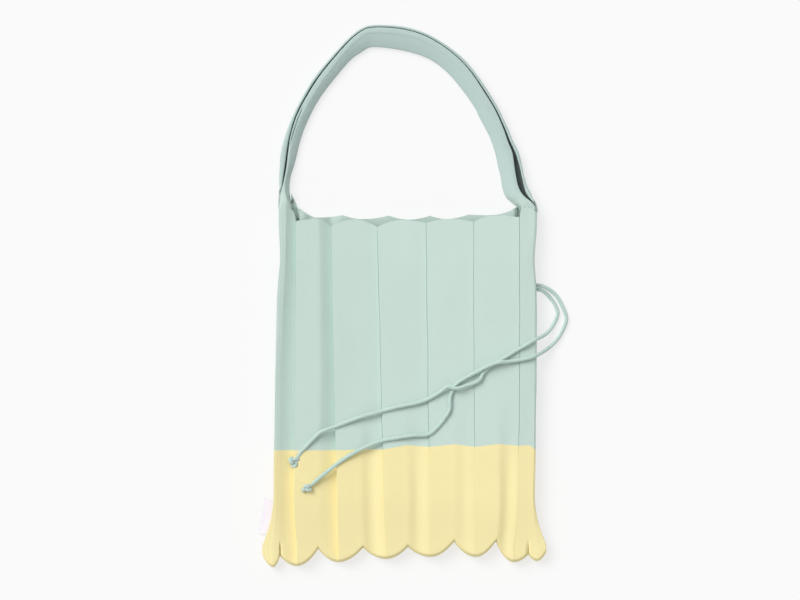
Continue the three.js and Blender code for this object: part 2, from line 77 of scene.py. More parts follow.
# Fold lines of the body from left to right: kind, places across at the mouth, at two levels down
# and at the hem, place of the back layer's fold at the mouth (all shares of the width), rim of
# front and back above the mouth line (shares of the rim wave), colour line (share of the height),
# drop of the hem (share of the hem drop) and height of its seam (share of the thickness).
FOLDS = (
    ("side", 0.000, -0.014, -0.020, -0.063, 0.000, 1.00, 1.00, 0.708, 0.49, 0.24),
    ("lobe", 0.008, -0.009, -0.012, -0.021, 0.008, 1.00, 1.00, 0.708, 1.00, 0.16),
    ("edge", 0.027, 0.003, 0.000, 0.004, 0.030, 1.00, 1.00, 0.708, 0.49, 0.24),
    ("crease", 0.066, 0.060, 0.058, 0.070, 0.070, -0.10, 0.95, 0.708, 0.95, 0.12),
    ("ridge", 0.155, 0.161, 0.155, 0.151, 0.143, 0.09, 0.23, 0.708, 0.18, 0.26),
    ("crease", 0.202, 0.215, 0.225, 0.231, 0.248, -0.55, 0.45, 0.708, 0.78, 0.12),
    ("ridge", 0.295, 0.308, 0.320, 0.327, 0.322, 0.05, 0.09, 0.705, 0.13, 0.26),
    ("crease", 0.380, 0.397, 0.405, 0.415, 0.426, -0.64, 0.41, 0.705, 0.64, 0.12),
    ("ridge", 0.477, 0.486, 0.502, 0.500, 0.504, 0.00, 0.05, 0.692, 0.10, 0.26),
    ("crease", 0.570, 0.578, 0.585, 0.587, 0.585, -0.27, 0.41, 0.697, 0.55, 0.12),
    ("ridge", 0.663, 0.678, 0.682, 0.678, 0.647, 0.09, 0.10, 0.689, -0.13, 0.26),
    ("crease", 0.754, 0.756, 0.760, 0.764, 0.733, -0.18, 0.50, 0.697, 0.55, 0.12),
    ("ridge", 0.837, 0.847, 0.853, 0.839, 0.822, 0.41, 0.45, 0.688, -0.15, 0.26),
    ("crease", 0.932, 0.932, 0.925, 0.911, 0.903, 0.23, 0.91, 0.694, 0.78, 0.12),
    ("edge", 0.967, 0.973, 0.963, 0.967, 0.967, 1.24, 1.22, 0.692, 0.44, 0.24),
    ("lobe", 0.990, 0.990, 0.984, 1.002, 0.990, 0.98, 1.00, 0.700, 0.73, 0.16),
    ("side", 0.999, 0.997, 0.990, 1.035, 1.000, 0.80, 0.80, 0.706, 0.36, 0.24),
)
FOLD_KEYS = ("top", "mid", "low", "hem", "back", "rim", "back_rim", "colour", "drop", "seam")

# Heights at each fold, millimetres: of the fold, of the panel that starts on its right and of the
# one that ends on its left, depth of its groove, share of the span over which a ridge falls away,
# how much deeper the hollow beside it is at the hem, how much a crease rises in the base, and
# height of the back layer.
HEIGHTS = (
    (19.2, 19.2, 19.2, 0.0, 1.0, 0.0, 0.0, 3.8),
    (18.9, 18.9, 18.9, 0.0, 1.0, 0.0, 0.0, 1.6),
    (17.8, 17.8, 17.8, 0.0, 1.0, 0.0, 0.0, 0.8),
    (11.6, 20.2, 11.6, 0.3, 1.0, 0.0, 1.2, 0.0),
    (17.9, 17.9, 17.9, 0.0, 1.0, 0.0, 0.0, 2.8),
    (11.8, 20.3, 11.8, 0.3, 1.0, 0.0, 1.2, 0.0),
    (18.0, 18.0, 18.0, 0.0, 0.9, 3.0, 0.0, 3.0),
    (15.9, 20.4, 16.1, 0.8, 1.0, 0.0, 2.2, 0.0),
    (19.4, 19.4, 19.4, 0.0, 0.9, 2.4, 0.0, 3.0),
    (18.4, 20.4, 18.6, 0.8, 1.0, 0.0, 1.4, 0.0),
    (20.1, 20.1, 20.1, 0.0, 0.8, 1.0, 0.0, 3.0),
    (19.4, 20.3, 19.6, 0.6, 1.0, 0.0, 0.6, 0.0),
    (20.1, 20.1, 20.1, 0.0, 0.8, 2.4, 0.0, 2.8),
    (19.0, 19.4, 19.4, 0.9, 1.0, 0.0, 0.0, 0.0),
    (18.3, 18.3, 18.3, 0.0, 1.0, 0.0, 0.0, 0.8),
    (17.8, 17.8, 17.8, 0.0, 1.0, 0.0, 0.0, 1.6),
    (16.4, 16.4, 16.4, 0.0, 1.0, 0.0, 0.0, 3.8),
)
HEIGHT_KEYS = ("fold", "right", "left", "groove", "fall", "hollow", "rise", "rear")
LEVELS = (0.523, 0.837, 1.0)  # of the two places down and of the hem, shares of the height

# Handle sections from the right seam over the arch to the left seam, millimetres: folded side,
# open side, how far the slit lies from the open side and how wide it gapes.
STRAP = (
    (119.6, 83.65, 134.6, 84.25, 0.6, 0.2),
    (116.2, 88.25, 134.2, 89.25, 0.8, 0.3),
    (110.0, 93.65, 132.6, 94.05, 2.2, 1.4),
    (104.6, 98.65, 130.4, 99.05, 5.2, 3.6),
    (101.8, 104.25, 128.0, 104.65, 6.8, 4.8),
    (100.2, 111.25, 124.7, 111.25, 5.8, 5.8),
    (98.6, 121.25, 121.9, 121.25, 5.2, 5.6),
    (96.1, 130.25, 119.9, 131.25, 5.0, 5.0),
    (94.0, 141.25, 116.7, 143.75, 4.6, 3.0),
    (90.9, 151.25, 111.1, 155.05, 3.8, 2.2),
    (87.6, 160.25, 106.6, 166.25, 3.4, 1.6),
    (83.0, 169.05, 101.6, 177.05, 3.0, 1.3),
    (78.2, 177.85, 96.4, 188.05, 3.0, 1.1),
    (74.2, 186.45, 90.3, 198.45, 3.0, 1.1),
    (68.8, 195.05, 83.8, 208.75, 3.1, 1.2),
    (62.9, 203.35, 76.9, 218.95, 3.0, 0.9),
    (56.3, 211.85, 69.0, 229.25, 2.8, 0.7),
    (49.3, 220.35, 60.0, 238.95, 2.8, 0.6),
    (41.0, 228.25, 49.7, 247.35, 2.5, 0.6),
    (31.6, 235.35, 38.2, 255.25, 2.4, 0.6),
    (21.2, 240.55, 25.8, 262.25, 2.5, 0.6),
    (9.8, 244.25, 12.3, 267.25, 2.5, 0.6),
    (-2.0, 246.85, -1.8, 270.25, 2.5, 0.6),
    (-14.4, 248.75, -16.7, 271.45, 2.3, 0.6),
    (-26.0, 249.65, -31.0, 271.05, 2.2, 0.6),
    (-33.4, 248.95, -38.8, 268.75, 2.2, 0.6),
    (-41.0, 244.25, -47.6, 263.25, 2.4, 0.7),
    (-49.4, 238.45, -56.8, 254.95, 2.6, 0.9),
    (-58.2, 229.25, -66.8, 243.95, 2.6, 1.0),
    (-66.1, 219.65, -76.0, 233.45, 2.7, 1.1),
    (-73.4, 210.55, -84.6, 223.05, 3.0, 1.1),
    (-80.1, 201.45, -92.1, 212.35, 3.1, 1.4),
    (-86.0, 192.15, -98.6, 201.25, 3.0, 1.2),
    (-91.1, 182.45, -104.5, 190.15, 2.8, 1.2),
    (-95.5, 172.95, -109.8, 179.05, 3.2, 1.1),
    (-99.4, 163.05, -114.4, 167.65, 4.2, 1.1),
    (-102.6, 152.65, -118.2, 155.95, 5.2, 1.3),
    (-105.1, 142.05, -121.0, 143.75, 6.2, 1.6),
    (-107.7, 131.65, -122.1, 131.65, 5.9, 1.8),
    (-110.7, 122.25, -122.6, 122.25, 5.0, 1.6),
    (-112.4, 113.25, -123.0, 113.25, 3.8, 1.0),
    (-112.5, 104.25, -122.2, 104.25, 1.2, 0.1),
    (-111.4, 95.75, -121.7, 95.75, 0.4, 0.05),
    (-109.2, 87.25, -122.0, 87.25, 0.3, 0.05),
)

# Routes of the tie cords from the right side fold to their knots, millimetres.
UPPER_CORD = (
    (133.0, 7.0, 6.5), (139.0, 6.3, 6.3), (143.0, 4.0, 4.8), (148.5, -1.6, 2.8),
    (153.3, -8.5, 2.2), (156.0, -16.8, 2.2), (154.0, -23.8, 2.4), (148.0, -33.8, 5.0),
    (142.0, -39.0, 10.0), (132.0, -43.8, 20.0), (124.0, -48.4, 22.4), (114.5, -53.8, 21.6),
    (105.0, -59.8, 22.2), (97.0, -64.5, 22.4), (88.0, -70.0, 22.4), (81.0, -77.0, 22.6),
    (77.0, -83.8, 23.4), (65.0, -88.8, 24.6), (55.0, -91.8, 26.7), (45.0, -90.3, 26.4),
    (39.0, -94.8, 24.2), (27.5, -101.8, 22.6), (17.5, -105.8, 22.2), (-2.0, -109.8, 22.6),
    (-20.0, -114.6, 21.6), (-41.5, -120.6, 22.6), (-63.0, -128.8, 21.2), (-81.6, -136.0, 22.4),
    (-89.2, -143.0, 21.4), (-95.6, -149.7, 20.6), (-100.6, -155.2, 19.6), (-104.8, -161.2, 19.0),
)
LOWER_CORD = (
    (133.0, 11.0, 6.5), (139.5, 10.5, 6.3), (146.0, 7.7, 5.0), (154.6, 0.5, 2.6),
    (161.3, -11.5, 2.2), (164.7, -22.2, 2.2), (162.0, -31.8, 2.2), (156.0, -42.4, 2.8),
    (146.6, -51.8, 6.0), (137.0, -57.8, 15.0), (130.0, -60.6, 21.6), (116.0, -63.8, 22.4),
    (105.0, -65.2, 24.6), (96.0, -66.0, 26.7), (86.0, -69.4, 26.8), (74.0, -75.8, 24.4),
    (61.0, -82.8, 22.8), (53.0, -89.0, 22.4), (48.0, -100.8, 22.4), (47.5, -112.8, 22.4),
    (43.0, -120.8, 22.2), (35.0, -130.8, 21.6), (26.5, -137.6, 21.8), (11.0, -138.8, 22.4),
    (-2.0, -140.8, 22.6), (-20.0, -144.3, 21.4), (-41.5, -152.8, 22.6), (-60.0, -163.8, 21.4),
    (-76.3, -176.2, 22.2), (-90.4, -188.0, 21.9),
)

# Knots: cord, its route, size across, whether it stands across the cord, and where its tail ends.
KNOTS = (
    ("upper", UPPER_CORD, 12.8, False, (0.9, -0.6, 2.6)),
    ("lower", LOWER_CORD, 9.6, True, (6.4, -1.3, 0.2)),
)


class BodySettings(bpy.types.PropertyGroup):
    width: FloatProperty(name="Width", description="Flat width at the mouth", default=0.258,
                         unit="LENGTH")
    height: FloatProperty(name="Height", description="Mouth line to the notches of the hem",
                          default=0.325, unit="LENGTH")
    hem_drop: FloatProperty(name="Hem drop", description="Lowest lobe below the notch line",
                            default=0.0225, unit="LENGTH")
    rim_wave: FloatProperty(name="Rim wave", description="Rim above the mouth line at the handle",
                            default=0.011, unit="LENGTH")
    thickness: FloatProperty(name="Fabric", description="Thickness of the knit", default=0.0016,
                             unit="LENGTH")
    left: FloatProperty(name="Left end", description="Place of the mouth line's left end",
                        default=-0.12299, unit="LENGTH")
    mouth: FloatProperty(name="Mouth line", description="Place of the mouth line", default=0.07625,
                         unit="LENGTH")


class StrapSettings(bpy.types.PropertyGroup):
    lift: FloatProperty(name="Lift", description="Height of the upper layer at the sewn ends",
                        default=0.016, unit="LENGTH")
    thickness: FloatProperty(name="Fabric", description="Thickness of the strip", default=0.002,
                             unit="LENGTH")


class CordSettings(bpy.types.PropertyGroup):
    diameter: FloatProperty(name="Diameter", description="Thickness of the tie cords",
                            default=0.0038, unit="LENGTH")
    sides: IntProperty(name="Sides", description="Faces round a cord", default=20, min=8)
    knot: FloatProperty(name="Knot", description="Length of a knot", default=0.009, unit="LENGTH")


class LabelSettings(bpy.types.PropertyGroup):
    length: FloatProperty(name="Length", description="Along the side fold", default=0.034,
                          unit="LENGTH")
    width: FloatProperty(name="Width", description="How far it sticks out", default=0.009,
                         unit="LENGTH")
    thickness: FloatProperty(name="Tape", description="Thickness of the tape", default=0.0003,
                             unit="LENGTH")


class FinishSettings(bpy.types.PropertyGroup):
    mint: FloatVectorProperty(name="Mint knit", description="Colour of the upper body",
                              default=(0.585, 0.725, 0.665), subtype="COLOR")
    handle: FloatVectorProperty(name="Handle knit", description="Colour of the handle",
                                default=(0.495, 0.62, 0.59), subtype="COLOR")
    yellow: FloatVectorProperty(name="Yellow knit", description="Colour of the base",
                                default=(0.93, 0.82, 0.43), subtype="COLOR")
    thread: FloatVectorProperty(name="Seam thread", description="Colour of the seam's thread",
                                default=(0.22, 0.31, 0.27), subtype="COLOR")
    cord: FloatVectorProperty(name="Cord knit", description="Colour of the tie cords",
                              default=(0.57, 0.72, 0.66), subtype="COLOR")
    tape: FloatVectorProperty(name="Label tape", description="Colour of the side label",
                              default=(0.76, 0.72, 0.79), subtype="COLOR")
    wale: FloatProperty(name="Wale", description="Width of one stitch of the knit", default=0.0014,
                        unit="LENGTH")


class StageSettings(bpy.types.PropertyGroup):
    lens: FloatProperty(name="Lens", description="Focal length of the camera", default=200.0)
    frame_width: FloatProperty(name="Frame", description="Width of floor that the camera sees",
                               default=0.8, unit="LENGTH")
    key: FloatProperty(name="Key light", description="Strength of the light at the upper left",
                       default=2.3)
    fill: FloatProperty(name="Fill light", description="Strength of the light overhead",
                        default=0.15)
    ambient: FloatProperty(name="Ambient", description="Brightness of the surroundings",
                           default=0.515)


def mix(a, b, share):
    return a + (b - a) * share


def clamp(value, low=0.0, high=1.0):
    return min(max(value, low), high)


def smooth(share):
    """Slope from 0 to 1 with level ends."""
    share = clamp(share)
    return share * share * (3 - 2 * share)


def ramp(share):
    """Straight slope with slightly rounded ends."""
    return mix(clamp(share), smooth(share), 0.4)


def make_cloth(columns, rows, place):
    """Grid of columns by rows faces.

    place gives each corner's point and its place on the cloth.
    """
    bm = bmesh.new()
    bmesh.ops.create_grid(bm, x_segments=columns, y_segments=rows, size=1.0)
    chart = bm.loops.layers.uv.new("cloth")
    spots = {}
    for vert in bm.verts:
        column = round((vert.co.x + 1) / 2 * columns)
        row = round((1 - vert.co.y) / 2 * rows)
        vert.co, spots[vert] = place(column, row)
    for face in bm.faces:
        for loop in face.loops:
            loop[chart].uv = spots[loop.vert]
    bmesh.ops.remove_doubles(bm, verts=bm.verts, dist=1e-6)
    bmesh.ops.dissolve_degenerate(bm, dist=1e-7, edges=bm.edges)
    for edge in bm.edges:
        edge.smooth = not edge.is_boundary
    return bm


def lengths_along(points):
    """Length of a line of points from its start to each point."""
    lengths = [0.0]
    for before, after in zip(points, points[1:]):
        lengths.append(lengths[-1] + (after - before).length)
    return lengths


def face_towards(bm, direction):
    """Turns all faces so that those that look most along direction face it."""
    bmesh.ops.recalc_face_normals(bm, faces=bm.faces)
    balance = sum(face.normal.dot(direction) * face.calc_area() for face in bm.faces
                  if face.calc_center_median().dot(direction) > 0)
    if balance < 0:
        bmesh.ops.reverse_faces(bm, faces=bm.faces)


def finish_piece(bm, name, material, replaced):
    """Smooth object of the mesh, with its material and the solids it stands for."""
    mesh = bpy.data.meshes.new(name)
    bm.to_mesh(mesh)
    bm.free()
    mesh.shade_smooth()
    piece = bpy.data.objects.new(name, mesh)
    bpy.context.scene.collection.objects.link(piece)
    mesh.materials.append(material)
    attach(piece, "root")
    if replaced:
        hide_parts(*replaced)
    return piece


def thicken(piece, thickness):
    """Gives a cloth its thickness, inwards from its outer side."""
    solidify = piece.modifiers.new("Thickness", "SOLIDIFY")
    solidify.thickness = thickness
    solidify.offset = -1.0
    solidify.use_rim = True


def add_node(tree, kind, settings=(), **inputs):
    """Shader node with its settings. Inputs go by name, or by number as i0, i1 and so on."""
    node = tree.nodes.new(kind)
    for key, value in dict(settings).items():
        setattr(node, key, value)
    for key, value in inputs.items():
        index = key[1:] if key[0] == "i" and key[1:].isdigit() else None
        socket = node.inputs[int(index)] if index else node.inputs[key.replace("_", " ")]
        if isinstance(value, bpy.types.NodeSocket):
            tree.links.new(value, socket)
        else:
            socket.default_value = value
    return node


def calc(tree, operation, *values):
    """Outcome of a sum on sockets and numbers."""
    inputs = {f"i{index}": value for index, value in enumerate(values)}
    return add_node(tree, "ShaderNodeMath", {"operation": operation}, **inputs).outputs[0]


def shade(colour, factor):
    """Colour made lighter or darker, with its alpha."""
    return (*(channel * factor for channel in colour), 1.0)


def empty_material(name):
    """Material without nodes, and its tree."""
    material = bpy.data.materials.new(name)
    material.use_nodes = True
    material.node_tree.nodes.clear()
    return material, material.node_tree


def tones(tree, share, colour, dark, light):
    """Colour that goes from its dark to its light tone with share."""
    return add_node(tree, "ShaderNodeMix", {"data_type": "RGBA"}, i0=share, i6=shade(colour, dark),
                    i7=shade(colour, light)).outputs[2]


# Darkest and lightest colour of the knit, as factors: its random melange and the painted shade
# between stitches.
KNIT_MELANGE_AND_SHADE_TONES = (0.86, 1.45)
KNIT_DEPTH = 0.00022  # of the stitches, metres
KNIT_SHEEN = 0.04
END_FADE = (0.004, 0.034)  # where the ends' colour goes over into the other, metres from the end


def stitch_height(tree, chart, across, down, wale, course):
    """Stitches in wales and courses: two legs that lean together, again and again down a wale."""
    drift = add_node(tree, "ShaderNodeTexNoise", Vector=chart, Scale=90.0, Detail=2.0).outputs[0]
    drift = calc(tree, "MULTIPLY", drift, 0.5)
    across = calc(tree, "MULTIPLY_ADD", across, 1 / wale, drift)
    down = calc(tree, "MULTIPLY", down, 1 / course)
    side = calc(tree, "ABSOLUTE", calc(tree, "SUBTRACT", calc(tree, "FRACT", across), 0.5))
    side = calc(tree, "MULTIPLY", side, 2.0)
    leg = calc(tree, "MULTIPLY", side, calc(tree, "SUBTRACT", 1.0, side))
    leg = calc(tree, "MULTIPLY", leg, 4.0)
    lean = calc(tree, "MULTIPLY_ADD", side, 0.55, down)
    wave = calc(tree, "SINE", calc(tree, "MULTIPLY", lean, 2 * math.pi))
    wave = calc(tree, "MULTIPLY_ADD", wave, 0.25, 0.75)
    return calc(tree, "MULTIPLY", calc(tree, "POWER", leg, 0.6), wave)


def knit_material(name, colour, wale, course, depth=KNIT_DEPTH, sheen=KNIT_SHEEN, ends=None,
                  soft=0.0):
    """Fine plain knit on the cloth's own chart, with painted shade between its stitches.

    ends gives another colour that both ends fade to, and the cloth's length. soft lets light
    into the yarn.
    """
    material, tree = empty_material(name)
    chart = add_node(tree, "ShaderNodeUVMap", {"uv_map": "cloth"}).outputs[0]
    across, down = add_node(tree, "ShaderNodeSeparateXYZ", Vector=chart).outputs[:2]
    stitch = stitch_height(tree, chart, across, down, wale, course)
    broad = add_node(tree, "ShaderNodeTexNoise", Vector=chart, Scale=16.0, Detail=3.0).outputs[0]
    fine = add_node(tree, "ShaderNodeTexNoise", Vector=chart, Scale=1500.0, Detail=2.0).outputs[0]
    tone = calc(tree, "MULTIPLY_ADD", broad, 0.06, calc(tree, "MULTIPLY", fine, 0.10))
    # Colour is lighter on the stitches' tops and darker between them: painted shade in the
    # crevices.
    tone = calc(tree, "MULTIPLY_ADD", stitch, 0.13, tone)
    mixed = tones(tree, tone, colour, *KNIT_MELANGE_AND_SHADE_TONES)
    if ends:
        end_colour, length = ends
        near = calc(tree, "MINIMUM", down, calc(tree, "SUBTRACT", length, down))
        fade = add_node(tree, "ShaderNodeMapRange", {"interpolation_type": "SMOOTHSTEP"}, i0=near,
                        i1=END_FADE[0], i2=END_FADE[1]).outputs[0]
        bright = tones(tree, tone, end_colour, *KNIT_MELANGE_AND_SHADE_TONES)
        mixed = add_node(tree, "ShaderNodeMix", {"data_type": "RGBA"}, i0=fade, i6=bright,
                         i7=mixed).outputs[2]
    rough = calc(tree, "MULTIPLY_ADD", fine, 0.16, 0.78)

    puff = add_node(tree, "ShaderNodeTexNoise", Vector=chart, Scale=75.0, Detail=2.0).outputs[0]
    bump = add_node(tree, "ShaderNodeBump", Strength=0.35, Distance=0.0003, Height=puff).outputs[0]
    bump = add_node(tree, "ShaderNodeBump", Strength=0.7, Distance=depth, Height=stitch,
                    Normal=bump).outputs[0]
    shader = add_node(tree, "ShaderNodeBsdfPrincipled", Base_Color=mixed, Roughness=rough,
                      Normal=bump)
    shader.inputs["Specular IOR Level"].default_value = 0.2
    shader.inputs["Subsurface Weight"].default_value = soft
    shader.inputs["Subsurface Radius"].default_value = (1.0, 1.0, 1.0)
    shader.inputs["Subsurface Scale"].default_value = 0.0025
    shader.inputs["Sheen Weight"].default_value = sheen
    shader.inputs["Sheen Roughness"].default_value = 0.45
    shader.inputs["Sheen Tint"].default_value = shade(colour, 1.3)
    add_node(tree, "ShaderNodeOutputMaterial", Surface=shader.outputs[0])
    return material


def tape_material(name, colour):
    """Woven satin tape with fine ribs."""
    material, tree = empty_material(name)
    chart = add_node(tree, "ShaderNodeUVMap", {"uv_map": "cloth"}).outputs[0]
    parts = add_node(tree, "ShaderNodeSeparateXYZ", Vector=chart)
    rib = calc(tree, "SINE", calc(tree, "MULTIPLY", parts.outputs[1], 2 * math.pi / 0.0004))
    thread = calc(tree, "SINE", calc(tree, "MULTIPLY", parts.outputs[0], 2 * math.pi / 0.0006))
    weave = calc(tree, "MULTIPLY_ADD", calc(tree, "MULTIPLY", rib, thread), 0.5, 0.5)
    spots = add_node(tree, "ShaderNodeTexNoise", Vector=chart, Scale=400.0, Detail=2.0).outputs[0]
    tone = calc(tree, "MULTIPLY_ADD", weave, 0.3, calc(tree, "MULTIPLY", spots, 0.3))
    mixed = tones(tree, tone, colour, 0.93, 1.06)
    rough = calc(tree, "MULTIPLY_ADD", spots, 0.2, 0.4)
    bump = add_node(tree, "ShaderNodeBump", Strength=0.5, Distance=0.00006,
                    Height=weave).outputs[0]
    shader = add_node(tree, "ShaderNodeBsdfPrincipled", Base_Color=mixed, Roughness=rough,
                      Normal=bump)
    add_node(tree, "ShaderNodeOutputMaterial", Surface=shader.outputs[0])
    return material


def cut_end_shade_material(name, colour):
    """Cut yarn ends in the open end of a cord, dark between the fibres: painted shade."""
    material, tree = empty_material(name)
    place = add_node(tree, "ShaderNodeTexCoord").outputs["Object"]
    fuzz = add_node(tree, "ShaderNodeTexNoise", Vector=place, Scale=2600.0, Detail=3.0).outputs[0]
    # The dark tones among the fibres are painted shade in the open end.
    mixed = tones(tree, fuzz, colour, 0.25, 0.9)
    bump = add_node(tree, "ShaderNodeBump", Strength=0.8, Distance=0.0003, Height=fuzz).outputs[0]
    shader = add_node(tree, "ShaderNodeBsdfPrincipled", Base_Color=mixed, Normal=bump)
    shader.inputs["Roughness"].default_value = 0.9
    add_node(tree, "ShaderNodeOutputMaterial", Surface=shader.outputs[0])
    return material


def material_of(key):
    """Makes a finish once and hands out the same one after that."""
    finish = bpy.context.scene.knit_finish
    wale, course = finish.wale, finish.wale * 0.8
    # The handle's inner faces take a much darker copy of its knit: painted shade inside the fold
    # and its slit.
    handle_painted_shade_colour = [part * 0.3 for part in finish.handle]
    ends = (finish.mint, HANDLE_LENGTH * MM)
    makers = {
        "mint_jersey": (knit_material, finish.mint, wale, course),
        "yellow_jersey": (knit_material, finish.yellow, wale, course),
        "handle_jersey": (knit_material, finish.handle, wale, course, KNIT_DEPTH, KNIT_SHEEN,
                          ends),
        "handle_inside": (knit_material, handle_painted_shade_colour, wale, course),
        "seam_thread": (knit_material, finish.thread, 0.0002, 0.0002, 0.00004),
        "cord_stitches": (knit_material, finish.cord, 0.0015, 0.0013, 0.0005, 0.06, None, 0.7),
        "cord_cut": (cut_end_shade_material, finish.cord),
        "label_ribbon": (tape_material, finish.tape),
    }
    maker, *values = makers[key]
    return bpy.data.materials.get(key) or maker(key, *values)


# The body's columns and rows of faces, and how its folds run. Millimetres unless said otherwise.
NEAR = (0.10, 0.18, 0.28, 0.6, 1.1, 2.1)  # columns beside a crease, distances from it
FAR = (0.15, 0.32, 0.50, 0.66, 0.80, 0.91)  # and from there to the next fold, shares
NEAR_SPAN = 14.0  # spans narrower than this have their near columns closer
SIDE_TURN = 4  # faces round each side fold
UPPER_ROWS = 56
ROW_CROWDING = 0.35  # how much closer the rows lie at the mouth
BASE_ROWS = 30
HEM_ROWS = 12
THICKNESS = 20.0  # of the bag as it lies
WALL_RUN = 0.24  # width of a crease's wall
SIDE_FALL = 1.35  # how the left side panel falls towards its crease
HOLLOW_BEND = 0.85  # how far towards its ridge a hollow is deepest
VALLEY_BEND = 2  # how fast the hem changes from a valley to its ridge
RIM_BEND = 1.8  # how fast the rim rises from a crease
CORNER_BEND = 6.0  # and in the mouth's corners
REAR_PINCH = 2.5  # width of the sharp fold in the back layer under a ridge
REAR_SWELL = 0.5  # share of the span that rises softly beside it, and of the height it reaches
SWAY = 0.5  # how far the fold lines wander sideways
SWAY_RATE = 0.021  # and how fast, turns of the noise for each millimetre
SIDE_DRAW = 2.3  # both side folds draw in by this much, a little below the handle
DRAW_PLACE = 38.0
DRAW_REACH = 22.0
SIDE_BULGE = 0.3
MOUTH_SLACK = 0.93  # height of the front layer at the rim, share of its height further down
SLACK_REACH = 40.0  # how far down the rim's change of height goes
SWELL = 0.35  # slow unevenness of the front layer
SWELL_RATE = (0.035, 0.016)  # across and down
SLIT_DEPTH = 4.5  # of the slit between a side lobe and its neighbour
SLIT_REACH = 0.12  # how far it opens beside its fold, in folds
HEM_REACH = {"side": 5.5, "lobe": 4.0, "edge": 5.0, "crease": 4.0, "ridge": 4.5}
HEM_THINNING = 0.2  # the front layer is lower at the hem by this share
GIRTH_LEVEL = 0.35  # the cloth's length round the tube is measured here, share of the height

# Levels down the body, as shares of its height, where something starts and over what run.
BASE_RISE = (0.65, 0.12)  # creases come up in the base
GROOVE_END = (0.68, 0.04)  # their grooves end above it
HOLLOW = (0.54, 0.34)  # the hollows beside the ridges deepen
THINNING = (0.84, 0.2)
SLIT = (0.985, 0.03)

# Rim of the back layer in the mouth's left corner: distance from the left end, and height above
# the mouth line.
CORNER = ((11.2, 28.0), (11.9, 26.9), (13.3, 24.1), (15.5, 19.8), (17.6, 15.6), (19.8, 12.0),
          (24.0, 9.2), (28.2, 5.7), (34.0, 3.4))

# The back layer stands up behind a steep wall beside the handle, and lies lower between the two
# corners. Distances are from the mouth line's left end, and for the flap from its right end.
CORNER_LIFT = 8.5
WALL_WIDTH = 1.6
CORNER_WALL = 19.6  # place of the wall at the mouth line
CORNER_LEAN = 9.2  # how much nearer to the end it stands at the corner's top
CORNER_TOP = 27.0  # height of that top above the mouth line
LEAN_BEND = 2.4
CORNER_END, CORNER_RUN = 36.0, 12.0
FLAP_WALL, FLAP_END, FLAP_RUN = 21.0, 36.8, 9.0
MIDDLE_LIFT = 5.0
MIDDLE_START, MIDDLE_RISE = 26.0, 12.0
MIDDLE_END, MIDDLE_FALL = 24.0, 5.0  # from the right end
POCKET_PLACE, POCKET_REACH = 52.0, 9.0  # it lies low behind this crease


def fold_values(index):
    """A fold's values by name, with the height of the hem's rounding there."""
    kind, *numbers = FOLDS[index]
    values = dict(zip(FOLD_KEYS, numbers))
    values["reach"] = HEM_REACH[kind]
    return values


def past(level, start_and_run):
    """0 above a level of the body, 1 below its run and a smooth change between."""
    start, run = start_and_run
    return smooth((level - start) / run)


def span_shares(left_kind, right_kind, width):
    """Places of the columns between two folds, as shares of the way from left to right."""
    scale = min(1.0, width / NEAR_SPAN) / width
    near = [step * scale for step in NEAR]
    shares = near + [mix(near[-1], 1.0, step) for step in FAR]
    if right_kind == "crease" or (left_kind == "edge" and right_kind == "lobe"):
        shares = [1 - share for share in reversed(shares)]
    return shares


def front_height(index, share, width):
    """Height of the front layer between two folds, and its groove, hollow and rise in the base."""
    left, right = FOLDS[index][0], FOLDS[index + 1][0]
    before, after = (dict(zip(HEIGHT_KEYS, HEIGHTS[place])) for place in (index, index + 1))
    values = {"front": mix(before["fold"], after["fold"], ramp(share)), "groove": 0.0,
              "hollow": 0.0, "rise": 0.0}
    if left == "crease":
        panel = mix(before["right"], after["fold"], share)
        wall = smooth(share * width / WALL_RUN)
        values["front"] = mix(before["fold"], panel, wall)
        values["groove"] = before["groove"] * (1 - wall)
        values["rise"] = (before["rise"] + before["left"] - before["fold"]) * (1 - wall)
    elif right == "crease":
        fall = 1 - (1 - share) ** SIDE_FALL if left == "edge" else ramp(share / before["fall"])
        panel = mix(before["fold"], after["left"], fall)
        wall = smooth((1 - share) * width / WALL_RUN)
        values["front"] = mix(after["fold"], panel, wall)
        values["groove"] = after["groove"] * (1 - wall)
        values["hollow"] = before["hollow"] * math.sin(math.pi * share ** HOLLOW_BEND) ** 2
        values["rise"] = after["rise"] * fall + (after["left"] - after["fold"]) * (1 - wall)
    return values


def rear_height(index, share, width):
    """The back layer lies flat and is pinched up a little under each ridge."""
    left, right = HEIGHTS[index][-1], HEIGHTS[index + 1][-1]
    peak, away = (left, share) if left > right else (right, 1 - share)
    low = min(left, right)
    soft = mix(low + REAR_SWELL * (peak - low), low, smooth(away / REAR_SWELL))
    return max(soft, mix(peak, low, smooth(away * width / REAR_PINCH)))


def make_columns():
    """Columns of the front layer from left to right, each with its fold values and heights."""
    body_width = bpy.context.scene.knit_body.width / MM
    columns = []
    for index in range(len(FOLDS) - 1):
        left, right = fold_values(index), fold_values(index + 1)
        kinds = FOLDS[index][0], FOLDS[index + 1][0]
        width = (right["mid"] - left["mid"]) * body_width
        for share in [0.0] + span_shares(*kinds, width):
            rising = kinds[0] in ("crease", "lobe")
            from_valley = share if rising else 1 - share
            low, high = (left, right) if rising else (right, left)
            column = {key: mix(left[key], right[key], share) for key in left}
            for key in ("drop", "reach"):
                column[key] = mix(low[key], high[key], from_valley ** VALLEY_BEND)
            bend = CORNER_BEND if "edge" in kinds and "crease" in kinds else RIM_BEND
            for key in ("rim", "back_rim"):
                column[key] = mix(low[key], high[key], 1 - (1 - from_valley) ** bend)
            column.update(front_height(index, share, width))
            column["rear"] = rear_height(index, share, width)
            column["fold"] = index + share
            columns.append(column)
    last = fold_values(len(FOLDS) - 1)
    last.update(front_height(len(FOLDS) - 2, 1.0, 1.0), rear=HEIGHTS[-1][-1],
                fold=len(FOLDS) - 1)
    columns.append(last)
    return columns


